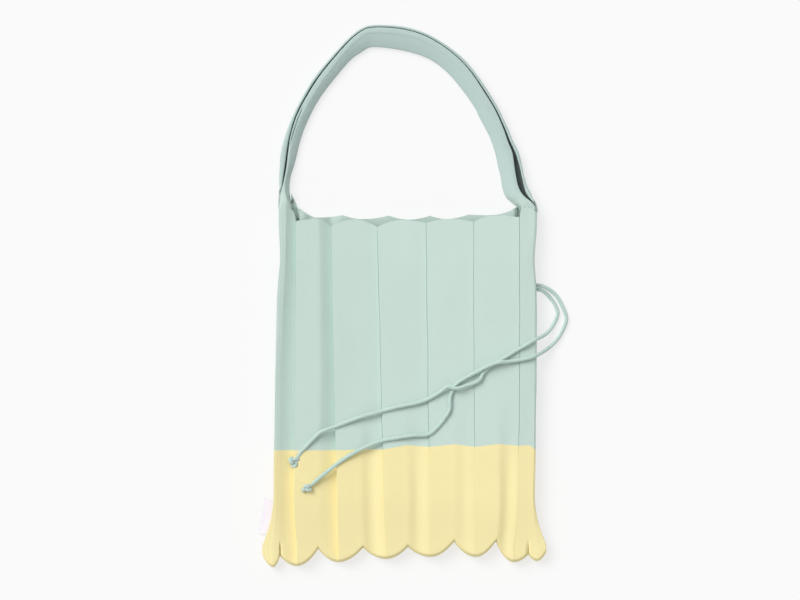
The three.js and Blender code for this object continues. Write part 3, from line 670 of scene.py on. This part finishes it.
class Body:
    """Places points of the body's cloth."""

    def __init__(self):
        settings = bpy.context.scene.knit_body
        self.width, self.height = settings.width / MM, settings.height / MM
        self.drop, self.wave = settings.hem_drop / MM, settings.rim_wave / MM
        self.left, self.mouth = settings.left / MM, settings.mouth / MM
        self.columns = make_columns()
        self.count = len(self.columns)
        self.around = 2 * (self.count - 1) + 2 * SIDE_TURN
        self.lengths = self.measure_around()
        self.edge = [self.layer_point(column, self.rim(column, False), False)
                     for column in self.columns]

    def sway(self, fold, y):
        """Slow wander of the fold lines down the body, each on its own way."""
        before, after = (noise.noise(Vector((math.floor(line) * 3.7, y * SWAY_RATE, 0.0)))
                         for line in (fold, fold + 1))
        return SWAY * mix(before, after, fold % 1)

    def across(self, column, y, rear):
        """Place of a column across the body at height y."""
        level = max((self.mouth - y) / self.height, 0)
        mid, low, hem = LEVELS
        if level < mid:
            share = mix(column["top"], column["mid"], level / mid)
        elif level < low:
            share = mix(column["mid"], column["low"], (level - mid) / (low - mid))
        else:
            share = mix(column["low"], column["hem"], min((level - low) / (hem - low), 1) ** 2)
        if rear:
            share += (column["back"] - column["top"]) * max(1 - level / mid, 0)
        draw = SIDE_DRAW * math.exp(-((y - DRAW_PLACE) / DRAW_REACH) ** 2)
        draw *= clamp(1 - column["fold"] / 3) - clamp(column["fold"] - len(FOLDS) + 3)
        sway = self.sway(column["fold"], y) * clamp(level * 6)
        return self.left + share * self.width + sway + draw

    def layer_point(self, column, y, rear, fullness=1.0):
        """Point of a layer. It comes to the hem's seam as fullness goes from 1 to 0."""
        x = self.across(column, y, rear)
        height = self.rear_layer(column, x, y) if rear else self.front_layer(column, x, y)
        return Vector((x, y, mix(column["seam"] * THICKNESS, height, fullness)))

    def front_layer(self, column, x, y):
        """Height of the front layer, lower at rim and hem, with its creases up in the base."""
        level = (self.mouth - y) / self.height
        height = column["front"] * mix(MOUTH_SLACK, 1.0, clamp((self.mouth - y) / SLACK_REACH))
        height *= 1 - HEM_THINNING * past(level, THINNING)
        height += column["rise"] * past(level, BASE_RISE)
        height -= column["groove"] * (1 - past(level, GROOVE_END))
        height -= column["hollow"] * past(level, HOLLOW)
        height -= self.side_slit(column, level)
        place = Vector((x * SWELL_RATE[0], y * SWELL_RATE[1], 4.0))
        return height + SWELL * noise.noise(place)

    def rear_layer(self, column, x, y):
        """Height of the back layer, which stands up under the rim and most beside the handle."""
        near_rim = smooth(1 - (self.mouth + self.wave - y) / SLACK_REACH)
        from_left, from_right = x - self.left, self.left + self.width - x
        wall = CORNER_WALL - CORNER_LEAN * clamp((y - self.mouth) / CORNER_TOP) ** LEAN_BEND
        corner = smooth((from_left - wall) / WALL_WIDTH)
        corner *= smooth((CORNER_END - from_left) / CORNER_RUN)
        flap = smooth((from_right - FLAP_WALL) / WALL_WIDTH)
        flap *= smooth((FLAP_END - from_right) / FLAP_RUN)
        beside = max(corner, flap)
        middle = smooth((from_left - MIDDLE_START) / MIDDLE_RISE)
        middle *= smooth((from_right - MIDDLE_END) / MIDDLE_FALL)
        middle *= 1 - smooth(1 - abs(from_left - POCKET_PLACE) / POCKET_REACH)
        lift = CORNER_LIFT * beside + MIDDLE_LIFT * middle * (1 - beside)
        return column["rear"] + near_rim * lift

    def side_slit(self, column, level):
        """Narrow slit between a side lobe and its neighbour, just above the hem."""
        away = min(abs(column["fold"] - 2), abs(column["fold"] - (len(FOLDS) - 3)))
        return SLIT_DEPTH * past(level, SLIT) * smooth(1 - away / SLIT_REACH)

    def surface(self, x):
        """Height of the front layer at its rim, for what is sewn to it there."""
        for before, after in zip(self.edge, self.edge[1:]):
            if before.x <= x <= after.x:
                return mix(before.z, after.z, (x - before.x) / max(after.x - before.x, 1e-6))
        return self.edge[0].z if x < self.edge[0].x else self.edge[-1].z

    def point(self, place, y_of, fullness_of=lambda column: 1.0):
        """Point number place round the tube: front, right side, back, left side."""
        last = self.count - 1
        if place <= last:
            column = self.columns[place]
            return self.layer_point(column, y_of(column, False), False, fullness_of(column))
        if place < last + SIDE_TURN:
            turn = (place - last) / SIDE_TURN
            return self.side_point(self.columns[-1], turn, 1, y_of, fullness_of)
        if place <= 2 * last + SIDE_TURN:
            column = self.columns[2 * last + SIDE_TURN - place]
            return self.layer_point(column, y_of(column, True), True, fullness_of(column))
        turn = (place - 2 * last - SIDE_TURN) / SIDE_TURN
        return self.side_point(self.columns[0], 1 - turn, -1, y_of, fullness_of)

    def side_point(self, column, share, side, y_of, fullness_of):
        """Point of a side fold, share of the way from the front layer round to the back."""
        fullness = fullness_of(column)
        front = self.layer_point(column, y_of(column, False), False, fullness)
        rear = self.layer_point(column, y_of(column, True), True, fullness)
        point = front.lerp(rear, (1 - math.cos(share * math.pi)) / 2)
        point.x += side * SIDE_BULGE * math.sin(share * math.pi) * fullness
        return point

    def measure_around(self):
        """Length of cloth from the left side fold to each column, a little below the mouth."""
        level = self.mouth - GIRTH_LEVEL * self.height
        return lengths_along([self.point(place, lambda column, rear: level)
                              for place in range(self.around + 1)])

    def rim(self, column, rear):
        """Place up the bag where a column ends at the mouth."""
        height = self.mouth + self.wave * column["back_rim" if rear else "rim"]
        x = column["back"] * self.width
        if rear and CORNER[0][0] <= x < CORNER[-1][0]:
            for (start, low), (end, high) in zip(CORNER, CORNER[1:]):
                if start <= x < end:
                    return self.mouth + mix(low, high, (x - start) / (end - start))
        return height

    def colour_line(self, column):
        """Place up the bag where a column changes from mint to yellow."""
        return self.mouth - self.height * column["colour"]

    def hem(self, column):
        """Place up the bag where a column ends at the hem."""
        return self.mouth - self.height - self.drop * column["drop"]

    def upper(self, place, row):
        """Point of the mint cloth, and its place on the flat cloth."""
        share = row / UPPER_ROWS
        share = mix(share, share * share, ROW_CROWDING)
        point = self.point(place, lambda column, rear: mix(self.rim(column, rear),
                                                           self.colour_line(column), share))
        return point * MM, (self.lengths[place] * MM, -point.y * MM)

    def base(self, place, row):
        """Point of the yellow cloth, whose last rows turn in to the hem's seam."""
        if row <= BASE_ROWS:
            share = row / BASE_ROWS
            point = self.point(place, lambda column, rear: mix(
                self.colour_line(column), self.hem(column) + column["reach"], share))
        else:
            turn = (row - BASE_ROWS) / HEM_ROWS * math.pi / 2
            point = self.point(
                place,
                lambda column, rear: self.hem(column) + column["reach"] * (1 - math.sin(turn)),
                lambda column: math.cos(turn))
        return point * MM, (self.lengths[place] * MM, -point.y * MM)


def cloth_piece(bm, name, finish, replaced, thickness):
    """Piece of the cloth bm with its outer side up and out, thickened inwards."""
    face_towards(bm, Vector((0, 0, 1)))
    piece = finish_piece(bm, name, material_of(finish), replaced)
    thicken(piece, thickness)
    return piece


class KNIT_OT_body(bpy.types.Operator):
    """Builds the pleated body: the mint tube and the yellow base with its scalloped hem"""

    bl_idname = "knit.body"
    bl_label = "Body"

    def execute(self, context):
        settings = context.scene.knit_body
        body = Body()
        upper = cloth_piece(make_cloth(body.around, UPPER_ROWS, body.upper), "upper_cloth",
                            "mint_jersey", ["body_upper"], settings.thickness)
        base = cloth_piece(make_cloth(body.around, BASE_ROWS + HEM_ROWS, body.base), "base_cloth",
                           "yellow_jersey", ["body_base"], settings.thickness)
        return {"FINISHED"}


# The handle, millimetres.
HANDLE_LENGTH = 456.0  # seam to seam, at whose ends it takes the body's colour
STRAP_SPANS = 280
SECTION_FACES = 64
LINE_STEPS = 200  # of the fine line that a section's even points are taken from
ARCH_LIFT = 10.4  # height of the upper layer over the arch
END_REACH = 55.0  # length over which it rises to its height at the seams
SEAM_REACH = 16.0  # and over which it takes the body's shape
SEAM_LOW = 3.0  # height of the lower layer there
SEAM_STEPS = (2.4, 0.2)  # the right and the left end lie this far under the body's surface
BROW = (0.44, 0.66)  # where the upper layer starts to fall to the fold, down the sides and on top
BROW_PLACE, BROW_REACH = 0.52, 0.22  # the top of the arch, shares of the way
SEWN_BROW = 0.6  # how much nearer the fold that place comes at the seams
LEAST_SLIT = 0.1
TUCK = 2.0  # depth of the second crease beside the slit, in the left side
TUCK_START, TUCK_END, TUCK_RUN = 62.0, 106.0, 8.0  # where it runs, measured from the left seam
TUCK_PLACE, TUCK_WIDTH = 2.3, 0.8  # its distance from the upper layer's edge, and half its width
EDGE_SLIT = 2.4  # where the slit is nearer to the open side, the lower layer sinks under the upper
EDGE_RUN = 1.6


def spline(points, share):
    """Even Catmull-Rom value at share of the way through a list of vectors."""
    place = clamp(share) * (len(points) - 1)
    index = min(int(place), len(points) - 2)
    t = place - index
    before = points[index - 1] if index > 0 else 2 * points[0] - points[1]
    after = points[index + 2] if index + 2 < len(points) else 2 * points[-1] - points[-2]
    start, end = points[index], points[index + 1]
    bend = 2 * before - 5 * start + 4 * end - after
    return 0.5 * (2 * start + (end - before) * t + bend * t * t
                  + (3 * start - before - 3 * end + after) * t ** 3)


def strap_section(width, slit_place, slit, crest, tuck, brow_share):
    """Folded strip as an open line from its lower free edge round the fold to the upper lip.

    Points are distance from the folded side and height.
    """
    reach = width - slit_place - slit / 2
    low_edge = min(width - slit_place + slit / 2, width - 0.3)
    band = width - low_edge
    brow = min(width * brow_share, reach * 0.72)
    top = reach - brow
    groove = reach - min(TUCK_PLACE, top * 0.5)
    half = min(TUCK_WIDTH, top * 0.18)
    sunk = 1 - 0.5 * smooth((EDGE_SLIT - slit_place) / EDGE_RUN)
    side = crest * sunk
    open_side = [
        (low_edge - 0.1, side - 3.4 * sunk), (low_edge, side - 1.5),
        (low_edge + 0.25 * band, side - 0.6), (low_edge + 0.75 * band, side - 0.7),
        (width, side - 2.2 * sunk), (width, side * 0.4),
    ]
    under_layer = [(width - 1.0, 0.9), (width - 3.2, 0.1), (width * 0.5, 0.0), (3.0, 0.0)]
    fold = [(0.8, 0.9), (0.0, 2.8), (0.4, 4.6), (mix(0.5, brow, 0.5), mix(4.8, crest, 0.54))]
    upper_layer = [
        (brow - 0.5, crest - 0.7), (brow + 0.1 * top, crest - 0.1), (groove - half, crest),
        (groove, crest - tuck), (groove + half, crest), (reach - 0.2, crest - 0.3),
        (reach, crest - 1.4), (reach, crest - 3.0),
    ]
    return [Vector(point) for point in open_side + under_layer + fold + upper_layer]


def even_line(points, count):
    """count + 1 points at even distances along the spline through points."""
    fine = [spline(points, step / LINE_STEPS) for step in range(LINE_STEPS + 1)]
    lengths = lengths_along(fine)
    line, index = [], 0
    for step in range(count + 1):
        target = lengths[-1] * step / count
        while index < len(fine) - 2 and lengths[index + 1] < target:
            index += 1
        span = max(lengths[index + 1] - lengths[index], 1e-9)
        line.append(fine[index].lerp(fine[index + 1], clamp((target - lengths[index]) / span)))
    return line, lengths[-1]


class Strap:
    """Places points of the handle's cloth, section by section."""

    def __init__(self):
        lift = bpy.context.scene.knit_strap.lift / MM
        body = Body()
        inner = [Vector((row[0], row[1], 0.0)) for row in STRAP]
        outer = [Vector((row[2], row[3], 0.0)) for row in STRAP]
        slits = [Vector((row[4], row[5], 0.0)) for row in STRAP]
        shares = [step / STRAP_SPANS for step in range(STRAP_SPANS + 1)]
        ends = [(spline(inner, share), spline(outer, share)) for share in shares]
        self.along = lengths_along([(start + end) / 2 for start, end in ends])
        self.sections = []
        for share, (start, end), along in zip(shares, ends, self.along):
            to_seam = min(along, self.along[-1] - along)
            crest = mix(ARCH_LIFT, lift, (1 - clamp(to_seam / END_REACH)) ** 1.5)
            across = end - start
            slit_place, slit, _ = spline(slits, share)
            from_end = self.along[-1] - along
            tuck = TUCK * smooth((from_end - TUCK_START) / TUCK_RUN)
            tuck *= smooth((TUCK_END - from_end) / TUCK_RUN)
            sewn = smooth(1 - to_seam / SEAM_REACH)
            brow = mix(*BROW, smooth(1 - abs(share - BROW_PLACE) / BROW_REACH))
            brow *= 1 - SEWN_BROW * sewn
            slit = max(slit, LEAST_SLIT)
            section = strap_section(across.length, slit_place, slit, crest, tuck, brow)
            points, length = even_line(section, SECTION_FACES)
            across.normalize()
            spots = [start + across * p.x + Vector((0, 0, p.y)) for p in points]
            if sewn > 0:
                step = SEAM_STEPS[int(along >= from_end)]
                for spot in spots:
                    high = body.surface(spot.x) - step
                    spot.z = mix(spot.z, mix(SEAM_LOW, high, clamp(spot.z / crest)), sewn)
            self.sections.append((spots, length))

    def point(self, column, row):
        """Point of the cloth, and its place on the flat strip."""
        points, length = self.sections[row]
        spot = (column / SECTION_FACES * length * MM, self.along[row] * MM)
        return points[column] * MM, spot


class KNIT_OT_strap(bpy.types.Operator):
    """Builds the handle, one strip folded along its inner side and open along its outer side"""

    bl_idname = "knit.strap"
    bl_label = "Handle"

    def execute(self, context):
        strap = Strap()
        bm = make_cloth(SECTION_FACES, STRAP_SPANS, strap.point)
        face_towards(bm, Vector((0, 0, 1)))
        piece = finish_piece(bm, "handle_cloth", material_of("handle_jersey"),
                             ["strap"])
        thicken(piece, context.scene.knit_strap.thickness)
        # Inner faces get the darker copy of the knit: painted shade inside the handle's slit.
        piece.data.materials.append(material_of("handle_inside"))
        piece.modifiers["Thickness"].material_offset = 1
        return {"FINISHED"}


# Cords and knots, millimetres.
CORD_SPACING = 0.9  # between the sections of a cord
END_ROUNDING = 0.6  # length over which a cord's end closes in, shares of its radius
KNOT_STEPS = 132
KNOT_RADIUS = 0.97  # of the cord in a knot, share of its radius elsewhere
KNOT_LIFT = 0.72  # height of its crossings, share of that radius
KNOT_SQUASH = 0.72  # height of the knot that stands across its cord, share of its width
KNOT_GAP = 0.3  # between a cord's end and its knot
KNOT_STRETCH = 0.028  # length of cord in one step of a knot, share of the knot's size
END_STEPS = 14  # sections of a knot's neck and tail
END_START = 0.95  # their thickness inside the knot, share of the cord's
NECK_SPREAD, TAIL_SPREAD = 0.99, 1.08  # and at their far end
END_DISH = ((0.95, 0.55), (0.93, 0.0))  # the far end closes here: shares of length and thickness
CUT_START = 0.92  # share of the tail past which its end is cut yarn


def cord_line(route):
    """Centripetal Catmull-Rom line through a route, with points about evenly apart."""
    points = [Vector(point) for point in route]
    points = [2 * points[0] - points[1], *points, 2 * points[-1] - points[-2]]
    line = []
    for p0, p1, p2, p3 in zip(points, points[1:], points[2:], points[3:]):
        d0, d1, d2 = ((b - a).length ** 0.5 for a, b in ((p0, p1), (p1, p2), (p2, p3)))
        t1 = ((p1 - p0) / d0 - (p2 - p0) / (d0 + d1) + (p2 - p1) / d1) * d1
        t2 = ((p2 - p1) / d1 - (p3 - p1) / (d1 + d2) + (p3 - p2) / d2) * d1
        steps = max(round((p2 - p1).length / CORD_SPACING), 2)
        for step in range(steps):
            t = step / steps
            line.append(p1 + t1 * t + (3 * (p2 - p1) - 2 * t1 - t2) * t ** 2
                        + (2 * (p1 - p2) + t1 + t2) * t ** 3)
    line.append(points[-2])
    return line


def frames_along(line, closed=False):
    """Tangent and two sideways directions at each point, turning as little as they can."""
    count = len(line)
    tangents = []
    for index in range(count):
        if closed:
            before, after = index - 1, (index + 1) % count
        else:
            before, after = max(index - 1, 0), min(index + 1, count - 1)
        tangents.append((line[after] - line[before]).normalized())
    side = tangents[0].orthogonal().normalized()
    frames = []
    for tangent in tangents:
        side = (side - tangent * side.dot(tangent)).normalized()
        frames.append((tangent, side, tangent.cross(side)))
    return frames


def ring(frame, turn, radius):
    """Offset from a cord's middle line to its surface, turn radians round."""
    _, side, up = frame
    return (side * math.cos(turn) + up * math.sin(turn)) * radius


def make_tube(line, radius, sides):
    """Tube along a line of millimetre points that closes in at both ends, and its length."""
    frames = frames_along(line)
    along = lengths_along(line)

    def place(column, row):
        turn = column / sides * 2 * math.pi
        near = min(along[row], along[-1] - along[row])
        closing = 1 - clamp(near / (END_ROUNDING * radius))
        offset = ring(frames[row], turn, radius * math.sqrt(clamp(1 - closing ** 2)))
        return (line[row] + offset) * MM, (turn * radius * MM, along[row] * MM)

    return make_cloth(sides, len(line) - 1, place), along[-1]


class KNIT_OT_cords(bpy.types.Operator):
    """Builds the two knitted tie cords on their routes"""

    bl_idname = "knit.cords"
    bl_label = "Tie cords"

    def execute(self, context):
        settings = context.scene.knit_cord
        for part, route in (("upper", UPPER_CORD), ("lower", LOWER_CORD)):
            line = cord_line(route)
            bm, length = make_tube(line, settings.diameter / 2 / MM, settings.sides)
            bmesh.ops.recalc_face_normals(bm, faces=bm.faces)
            piece = finish_piece(bm, f"cord_{part}", material_of("cord_stitches"),
                                 [f"tie_cord_{part}"])
        return {"FINISHED"}


def closed_frames(line):
    """Frames round a closed line, with the twist that is left over shared out along it."""
    frames = frames_along(line, closed=True)
    tangent, side, up = frames[0]
    carried = frames[-1][1] - tangent * frames[-1][1].dot(tangent)
    miss = math.atan2(carried.dot(up), carried.dot(side))
    turned = []
    for index, (tangent, side, up) in enumerate(frames):
        angle = -miss * index / len(frames)
        turned.append((tangent, side * math.cos(angle) + up * math.sin(angle),
                       up * math.cos(angle) - side * math.sin(angle)))
    return turned + turned[:1]


class KNIT_OT_knots(bpy.types.Operator):
    """Builds the overhand knot and the cut tail at the end of each tie cord"""

    bl_idname = "knit.knots"
    bl_label = "Knots"

    def execute(self, context):
        settings = context.scene.knit_cord
        half = settings.knot / MM / 2
        for part, route, size, upright, tail in KNOTS:
            line = cord_line(route)
            along = (line[-1] - line[-2]).normalized()
            centre = line[-1] + along * (half + KNOT_GAP)
            bm = self.overhand(size, upright, settings)
            self.add_end(bm, tail, settings, cut=True)
            self.add_end(bm, (-half - 0.2, 0.0, 0.0), settings, cut=False)
            turn = Matrix.Rotation(math.atan2(along.y, along.x), 4, "Z")
            bmesh.ops.transform(bm, matrix=Matrix.Translation(centre * MM) @ turn, verts=bm.verts)
            piece = finish_piece(bm, f"knot_{part}", material_of("cord_stitches"),
                                 [f"tie_knot_{part}"])
            # The cut end's material darkens it: painted shade among the fibres.
            piece.data.materials.append(material_of("cord_cut"))
        return {"FINISHED"}

    def overhand(self, size, upright, settings):
        """Tight overhand knot: a trefoil of cord, standing across the cord or lying flat."""
        radius = settings.diameter / 2 / MM * KNOT_RADIUS
        loop = (size / 2 - radius) / 3
        line = []
        for step in range(KNOT_STEPS):
            t = step / KNOT_STEPS * 2 * math.pi
            x, y = math.sin(t) + 2 * math.sin(2 * t), math.cos(t) - 2 * math.cos(2 * t)
            lift = -math.sin(3 * t) * radius * KNOT_LIFT
            if upright:
                line.append(Vector((lift, x * loop, y * loop * KNOT_SQUASH)))
            else:
                line.append(Vector((x * loop, y * loop, lift)))
        frames = closed_frames(line)

        def place(column, row):
            turn = column / settings.sides * 2 * math.pi
            point = line[row % KNOT_STEPS] + ring(frames[row], turn, radius)
            return point * MM, (turn * radius * MM, row * size * KNOT_STRETCH * MM)

        bm = make_cloth(settings.sides, KNOT_STEPS, place)
        bmesh.ops.recalc_face_normals(bm, faces=bm.faces)
        return bm

    def add_end(self, bm, tip, settings, cut):
        """Cord from inside the knot to tip: the neck, or the tail with a flat, frayed cut."""
        tip, radius = Vector(tip), settings.diameter / 2 / MM
        shares = [step / END_STEPS for step in range(END_STEPS + 1)]
        spread = TAIL_SPREAD if cut else NECK_SPREAD
        line = [tip * share for share in shares]
        frames = frames_along(line)
        flare = [radius * mix(END_START, spread, smooth(share)) for share in shares]
        for share, thickness in END_DISH:
            line.append(tip * share)
            flare.append(radius * thickness)

        def place(column, row):
            turn = column / settings.sides * 2 * math.pi
            point = line[row] + ring(frames[min(row, END_STEPS)], turn, flare[row])
            return point * MM, (turn * radius * MM, row * tip.length / END_STEPS * MM)

        end = make_cloth(settings.sides, END_STEPS + len(END_DISH), place)
        bmesh.ops.recalc_face_normals(end, faces=end.faces)
        axis = tip.normalized()
        for face in end.faces:
            inside = all(vert.co.dot(axis) > tip.length * CUT_START * MM for vert in face.verts)
            face.material_index = int(cut and inside)
        mesh = bpy.data.meshes.new("tail")
        end.to_mesh(mesh)
        end.free()
        bm.from_mesh(mesh)
        bpy.data.meshes.remove(mesh)


# Side label and seam stitches, millimetres.
LABEL_PLACE = 0.863  # of its upper end down the body, share of the height
LABEL_HEIGHT = 6.9
LABEL_ROOT = 0.2  # how deep it starts in the side fold
LABEL_ROWS, LABEL_FACES = 34, 24
LAYER_GAP = 0.4  # half the distance between its two layers
LAYER_SHARE = 0.46  # of the tape in each layer
FOLD_SHARE = 0.08  # and in the fold between them
LABEL_DROP = 3.0  # how much lower its outer end lies
LABEL_LEAN = 2.0  # and how much further up the bag
STITCH_PITCH = 1.75
STITCH_LENGTH = 1.25
STITCH_WIDTH = 0.6
STITCH_HEIGHT = 0.5
STITCH_INSET = 0.9  # from the rim
STITCH_TURN = 0.25  # how far each stitch leans from the row, radians
STITCH_START = 1.5  # of the row, from the side panel's crease
STITCH_LIFT = 0.1  # over the cloth


class KNIT_OT_label(bpy.types.Operator):
    """Builds the small blank folded label in the left side fold"""

    bl_idname = "knit.label"
    bl_label = "Side label"

    def execute(self, context):
        settings = context.scene.knit_label
        body = Body()
        length, width = settings.length / MM, settings.width / MM
        top = body.mouth - body.height * LABEL_PLACE

        def place(column, row):
            share, down = column / LABEL_FACES, length * row / LABEL_ROWS
            y = top - down
            x = body.across(body.columns[0], y, False) - LABEL_ROOT
            turn = clamp((share - LAYER_SHARE) / FOLD_SHARE)
            out = clamp(min(share, 1 - share) / LAYER_SHARE)
            ripple = 0.25 * math.sin(row / LABEL_ROWS * 5.0)
            z = LABEL_HEIGHT + math.cos(turn * math.pi) * LAYER_GAP
            z += ripple * out - LABEL_DROP * out ** 1.5
            point = Vector((x - width * out, y + LABEL_LEAN * out, z))
            return point * MM, (share * 2 * width * MM, down * MM)

        bm = make_cloth(LABEL_FACES, LABEL_ROWS, place)
        bmesh.ops.recalc_face_normals(bm, faces=bm.faces)
        piece = finish_piece(bm, "label_cloth", material_of("label_ribbon"),
                             ["side_label"])
        thicken(piece, settings.thickness)
        return {"FINISHED"}


class KNIT_OT_stitches(bpy.types.Operator):
    """Sews a row of small stitches along the handle's seam on the right"""

    bl_idname = "knit.stitches"
    bl_label = "Seam stitches"

    def execute(self, context):
        body = Body()
        rim = [body.layer_point(column, body.rim(column, False) - STITCH_INSET, False)
               for column in body.columns if column["fold"] > len(FOLDS) - 4]
        rim = [point for point in rim if point.x > rim[0].x + STITCH_START]
        bm = bmesh.new()
        chart = bm.loops.layers.uv.new("cloth")
        spread = (rim[-1] - rim[0]).length
        count = int(spread / STITCH_PITCH)
        for number in range(count):
            place = spline(rim, (number + 0.5) / count)
            ahead = (spline(rim, (number + 0.7) / count) - place).normalized()
            made = bmesh.ops.create_icosphere(bm, subdivisions=2, radius=0.5 * MM)["verts"]
            shape = Matrix.Diagonal((STITCH_LENGTH, STITCH_WIDTH, STITCH_HEIGHT, 1.0))
            turn = Matrix.Rotation(math.atan2(ahead.y, ahead.x) + STITCH_TURN, 4, "Z")
            spot = Matrix.Translation((place + Vector((0, 0, STITCH_LIFT))) * MM)
            bmesh.ops.transform(bm, matrix=spot @ turn @ shape, verts=made)
        for face in bm.faces:
            for loop in face.loops:
                loop[chart].uv = loop.vert.co.xy
        finish_piece(bm, "seam_stitches", material_of("seam_thread"), [])
        return {"FINISHED"}


# The stage, metres.
CAMERA_PLACE = (-0.002, -0.00375)  # over the middle of the bag as it is framed
FOCUS_HEIGHT = 0.010  # the frame's width is taken at half the bag's thickness
FLOOR_SINK = 0.0003  # the floor lies this far under the cloth
FLOOR_TONES = (0.248, 0.252)
FLOOR_GLOW = 0.679  # light of its own, which keeps the shadows pale
KEY_PLACE, KEY_SPREAD = (-0.9, 0.8, 1.35), 38.0  # where it shines from, and degrees
FILL_PLACE, FILL_SPREAD = (0.1, 0.1, 1.0), 60.0


class KNIT_OT_stage(bpy.types.Operator):
    """Sets the pale floor, the soft studio lights and the camera straight above"""

    bl_idname = "knit.stage"
    bl_label = "Stage"

    def execute(self, context):
        settings = context.scene.knit_stage
        context.scene.view_settings.view_transform = "Standard"
        self.add_camera(settings)
        self.add_floor()
        self.add_light("key", KEY_PLACE, KEY_SPREAD, settings.key)
        self.add_light("overhead", FILL_PLACE, FILL_SPREAD, settings.fill)
        world = bpy.data.worlds.new("surroundings")
        world.use_nodes = True
        background = world.node_tree.nodes["Background"]
        background.inputs["Color"].default_value = (1.0, 1.0, 1.0, 1.0)
        background.inputs["Strength"].default_value = settings.ambient
        context.scene.world = world
        return {"FINISHED"}

    def add_camera(self, settings):
        """Camera that looks straight down, as far up as its frame is wide enough."""
        camera = bpy.data.cameras.new("camera")
        camera.lens = settings.lens
        camera.clip_end = 100.0
        holder = bpy.data.objects.new("camera", camera)
        distance = settings.frame_width * settings.lens / camera.sensor_width + FOCUS_HEIGHT
        holder.location = (*CAMERA_PLACE, distance)
        bpy.context.scene.collection.objects.link(holder)
        bpy.context.scene.camera = holder

    def add_floor(self):
        """Wide flat floor just under the bag."""
        bm = bmesh.new()
        bmesh.ops.create_grid(bm, x_segments=1, y_segments=1, size=4.0)
        bmesh.ops.translate(bm, vec=(0, 0, -FLOOR_SINK), verts=bm.verts)
        mesh = bpy.data.meshes.new("floor")
        bm.to_mesh(mesh)
        bm.free()
        floor = bpy.data.objects.new("floor", mesh)
        bpy.context.scene.collection.objects.link(floor)
        mesh.materials.append(self.floor_material())

    def add_light(self, name, place, spread, strength):
        """Parallel light from place; its spread in degrees softens the shadows."""
        light = bpy.data.lights.new(name, "SUN")
        light.angle = math.radians(spread)
        light.energy = strength
        holder = bpy.data.objects.new(name, light)
        holder.location = place
        holder.rotation_euler = (-Vector(place)).to_track_quat("-Z", "Y").to_euler()
        bpy.context.scene.collection.objects.link(holder)

    def floor_material(self):
        """Dull pale ground, barely uneven."""
        material, tree = empty_material("pale_floor")
        place = add_node(tree, "ShaderNodeTexCoord").outputs["Object"]
        grain = add_node(tree, "ShaderNodeTexNoise", Vector=place, Scale=3.0, Detail=2.0)
        mixed = tones(tree, grain.outputs[0], (1, 1, 1), *FLOOR_TONES)
        shader = add_node(tree, "ShaderNodeBsdfPrincipled", Base_Color=mixed)
        shader.inputs["Roughness"].default_value = 1.0
        shader.inputs["Specular IOR Level"].default_value = 0.0
        shader.inputs["Emission Color"].default_value = (1.0, 1.0, 1.0, 1.0)
        shader.inputs["Emission Strength"].default_value = FLOOR_GLOW
        add_node(tree, "ShaderNodeOutputMaterial", Surface=shader.outputs[0])
        return material


class KNIT_PT_panel(bpy.types.Panel):
    """Lists the bag's operators in the sidebar"""

    bl_idname = "KNIT_PT_panel"
    bl_label = "Knit bag"
    bl_space_type = "VIEW_3D"
    bl_region_type = "UI"
    bl_category = "Knit bag"

    def draw(self, context):
        for operator in OPERATORS:
            self.layout.operator(operator.bl_idname)


GROUPS = {
    "knit_body": BodySettings,
    "knit_strap": StrapSettings,
    "knit_cord": CordSettings,
    "knit_label": LabelSettings,
    "knit_finish": FinishSettings,
    "knit_stage": StageSettings,
}
OPERATORS = (KNIT_OT_stage, KNIT_OT_knots, KNIT_OT_cords, KNIT_OT_body, KNIT_OT_strap,
             KNIT_OT_label, KNIT_OT_stitches)


def register():
    for group in (*GROUPS.values(), *OPERATORS, KNIT_PT_panel):
        bpy.utils.register_class(group)
    for key, group in GROUPS.items():
        setattr(bpy.types.Scene, key, PointerProperty(type=group))


def unregister():
    for key in GROUPS:
        delattr(bpy.types.Scene, key)
    for group in (KNIT_PT_panel, *reversed(OPERATORS), *reversed(tuple(GROUPS.values()))):
        bpy.utils.unregister_class(group)


def main():
    """Builds the whole scene."""
    register()
    bpy.ops.knit.stage()
    bpy.ops.knit.knots()
    bpy.ops.knit.cords()
    bpy.ops.knit.body()
    bpy.ops.knit.strap()
    bpy.ops.knit.label()
    bpy.ops.knit.stitches()


if __name__ == "__main__":
    main()
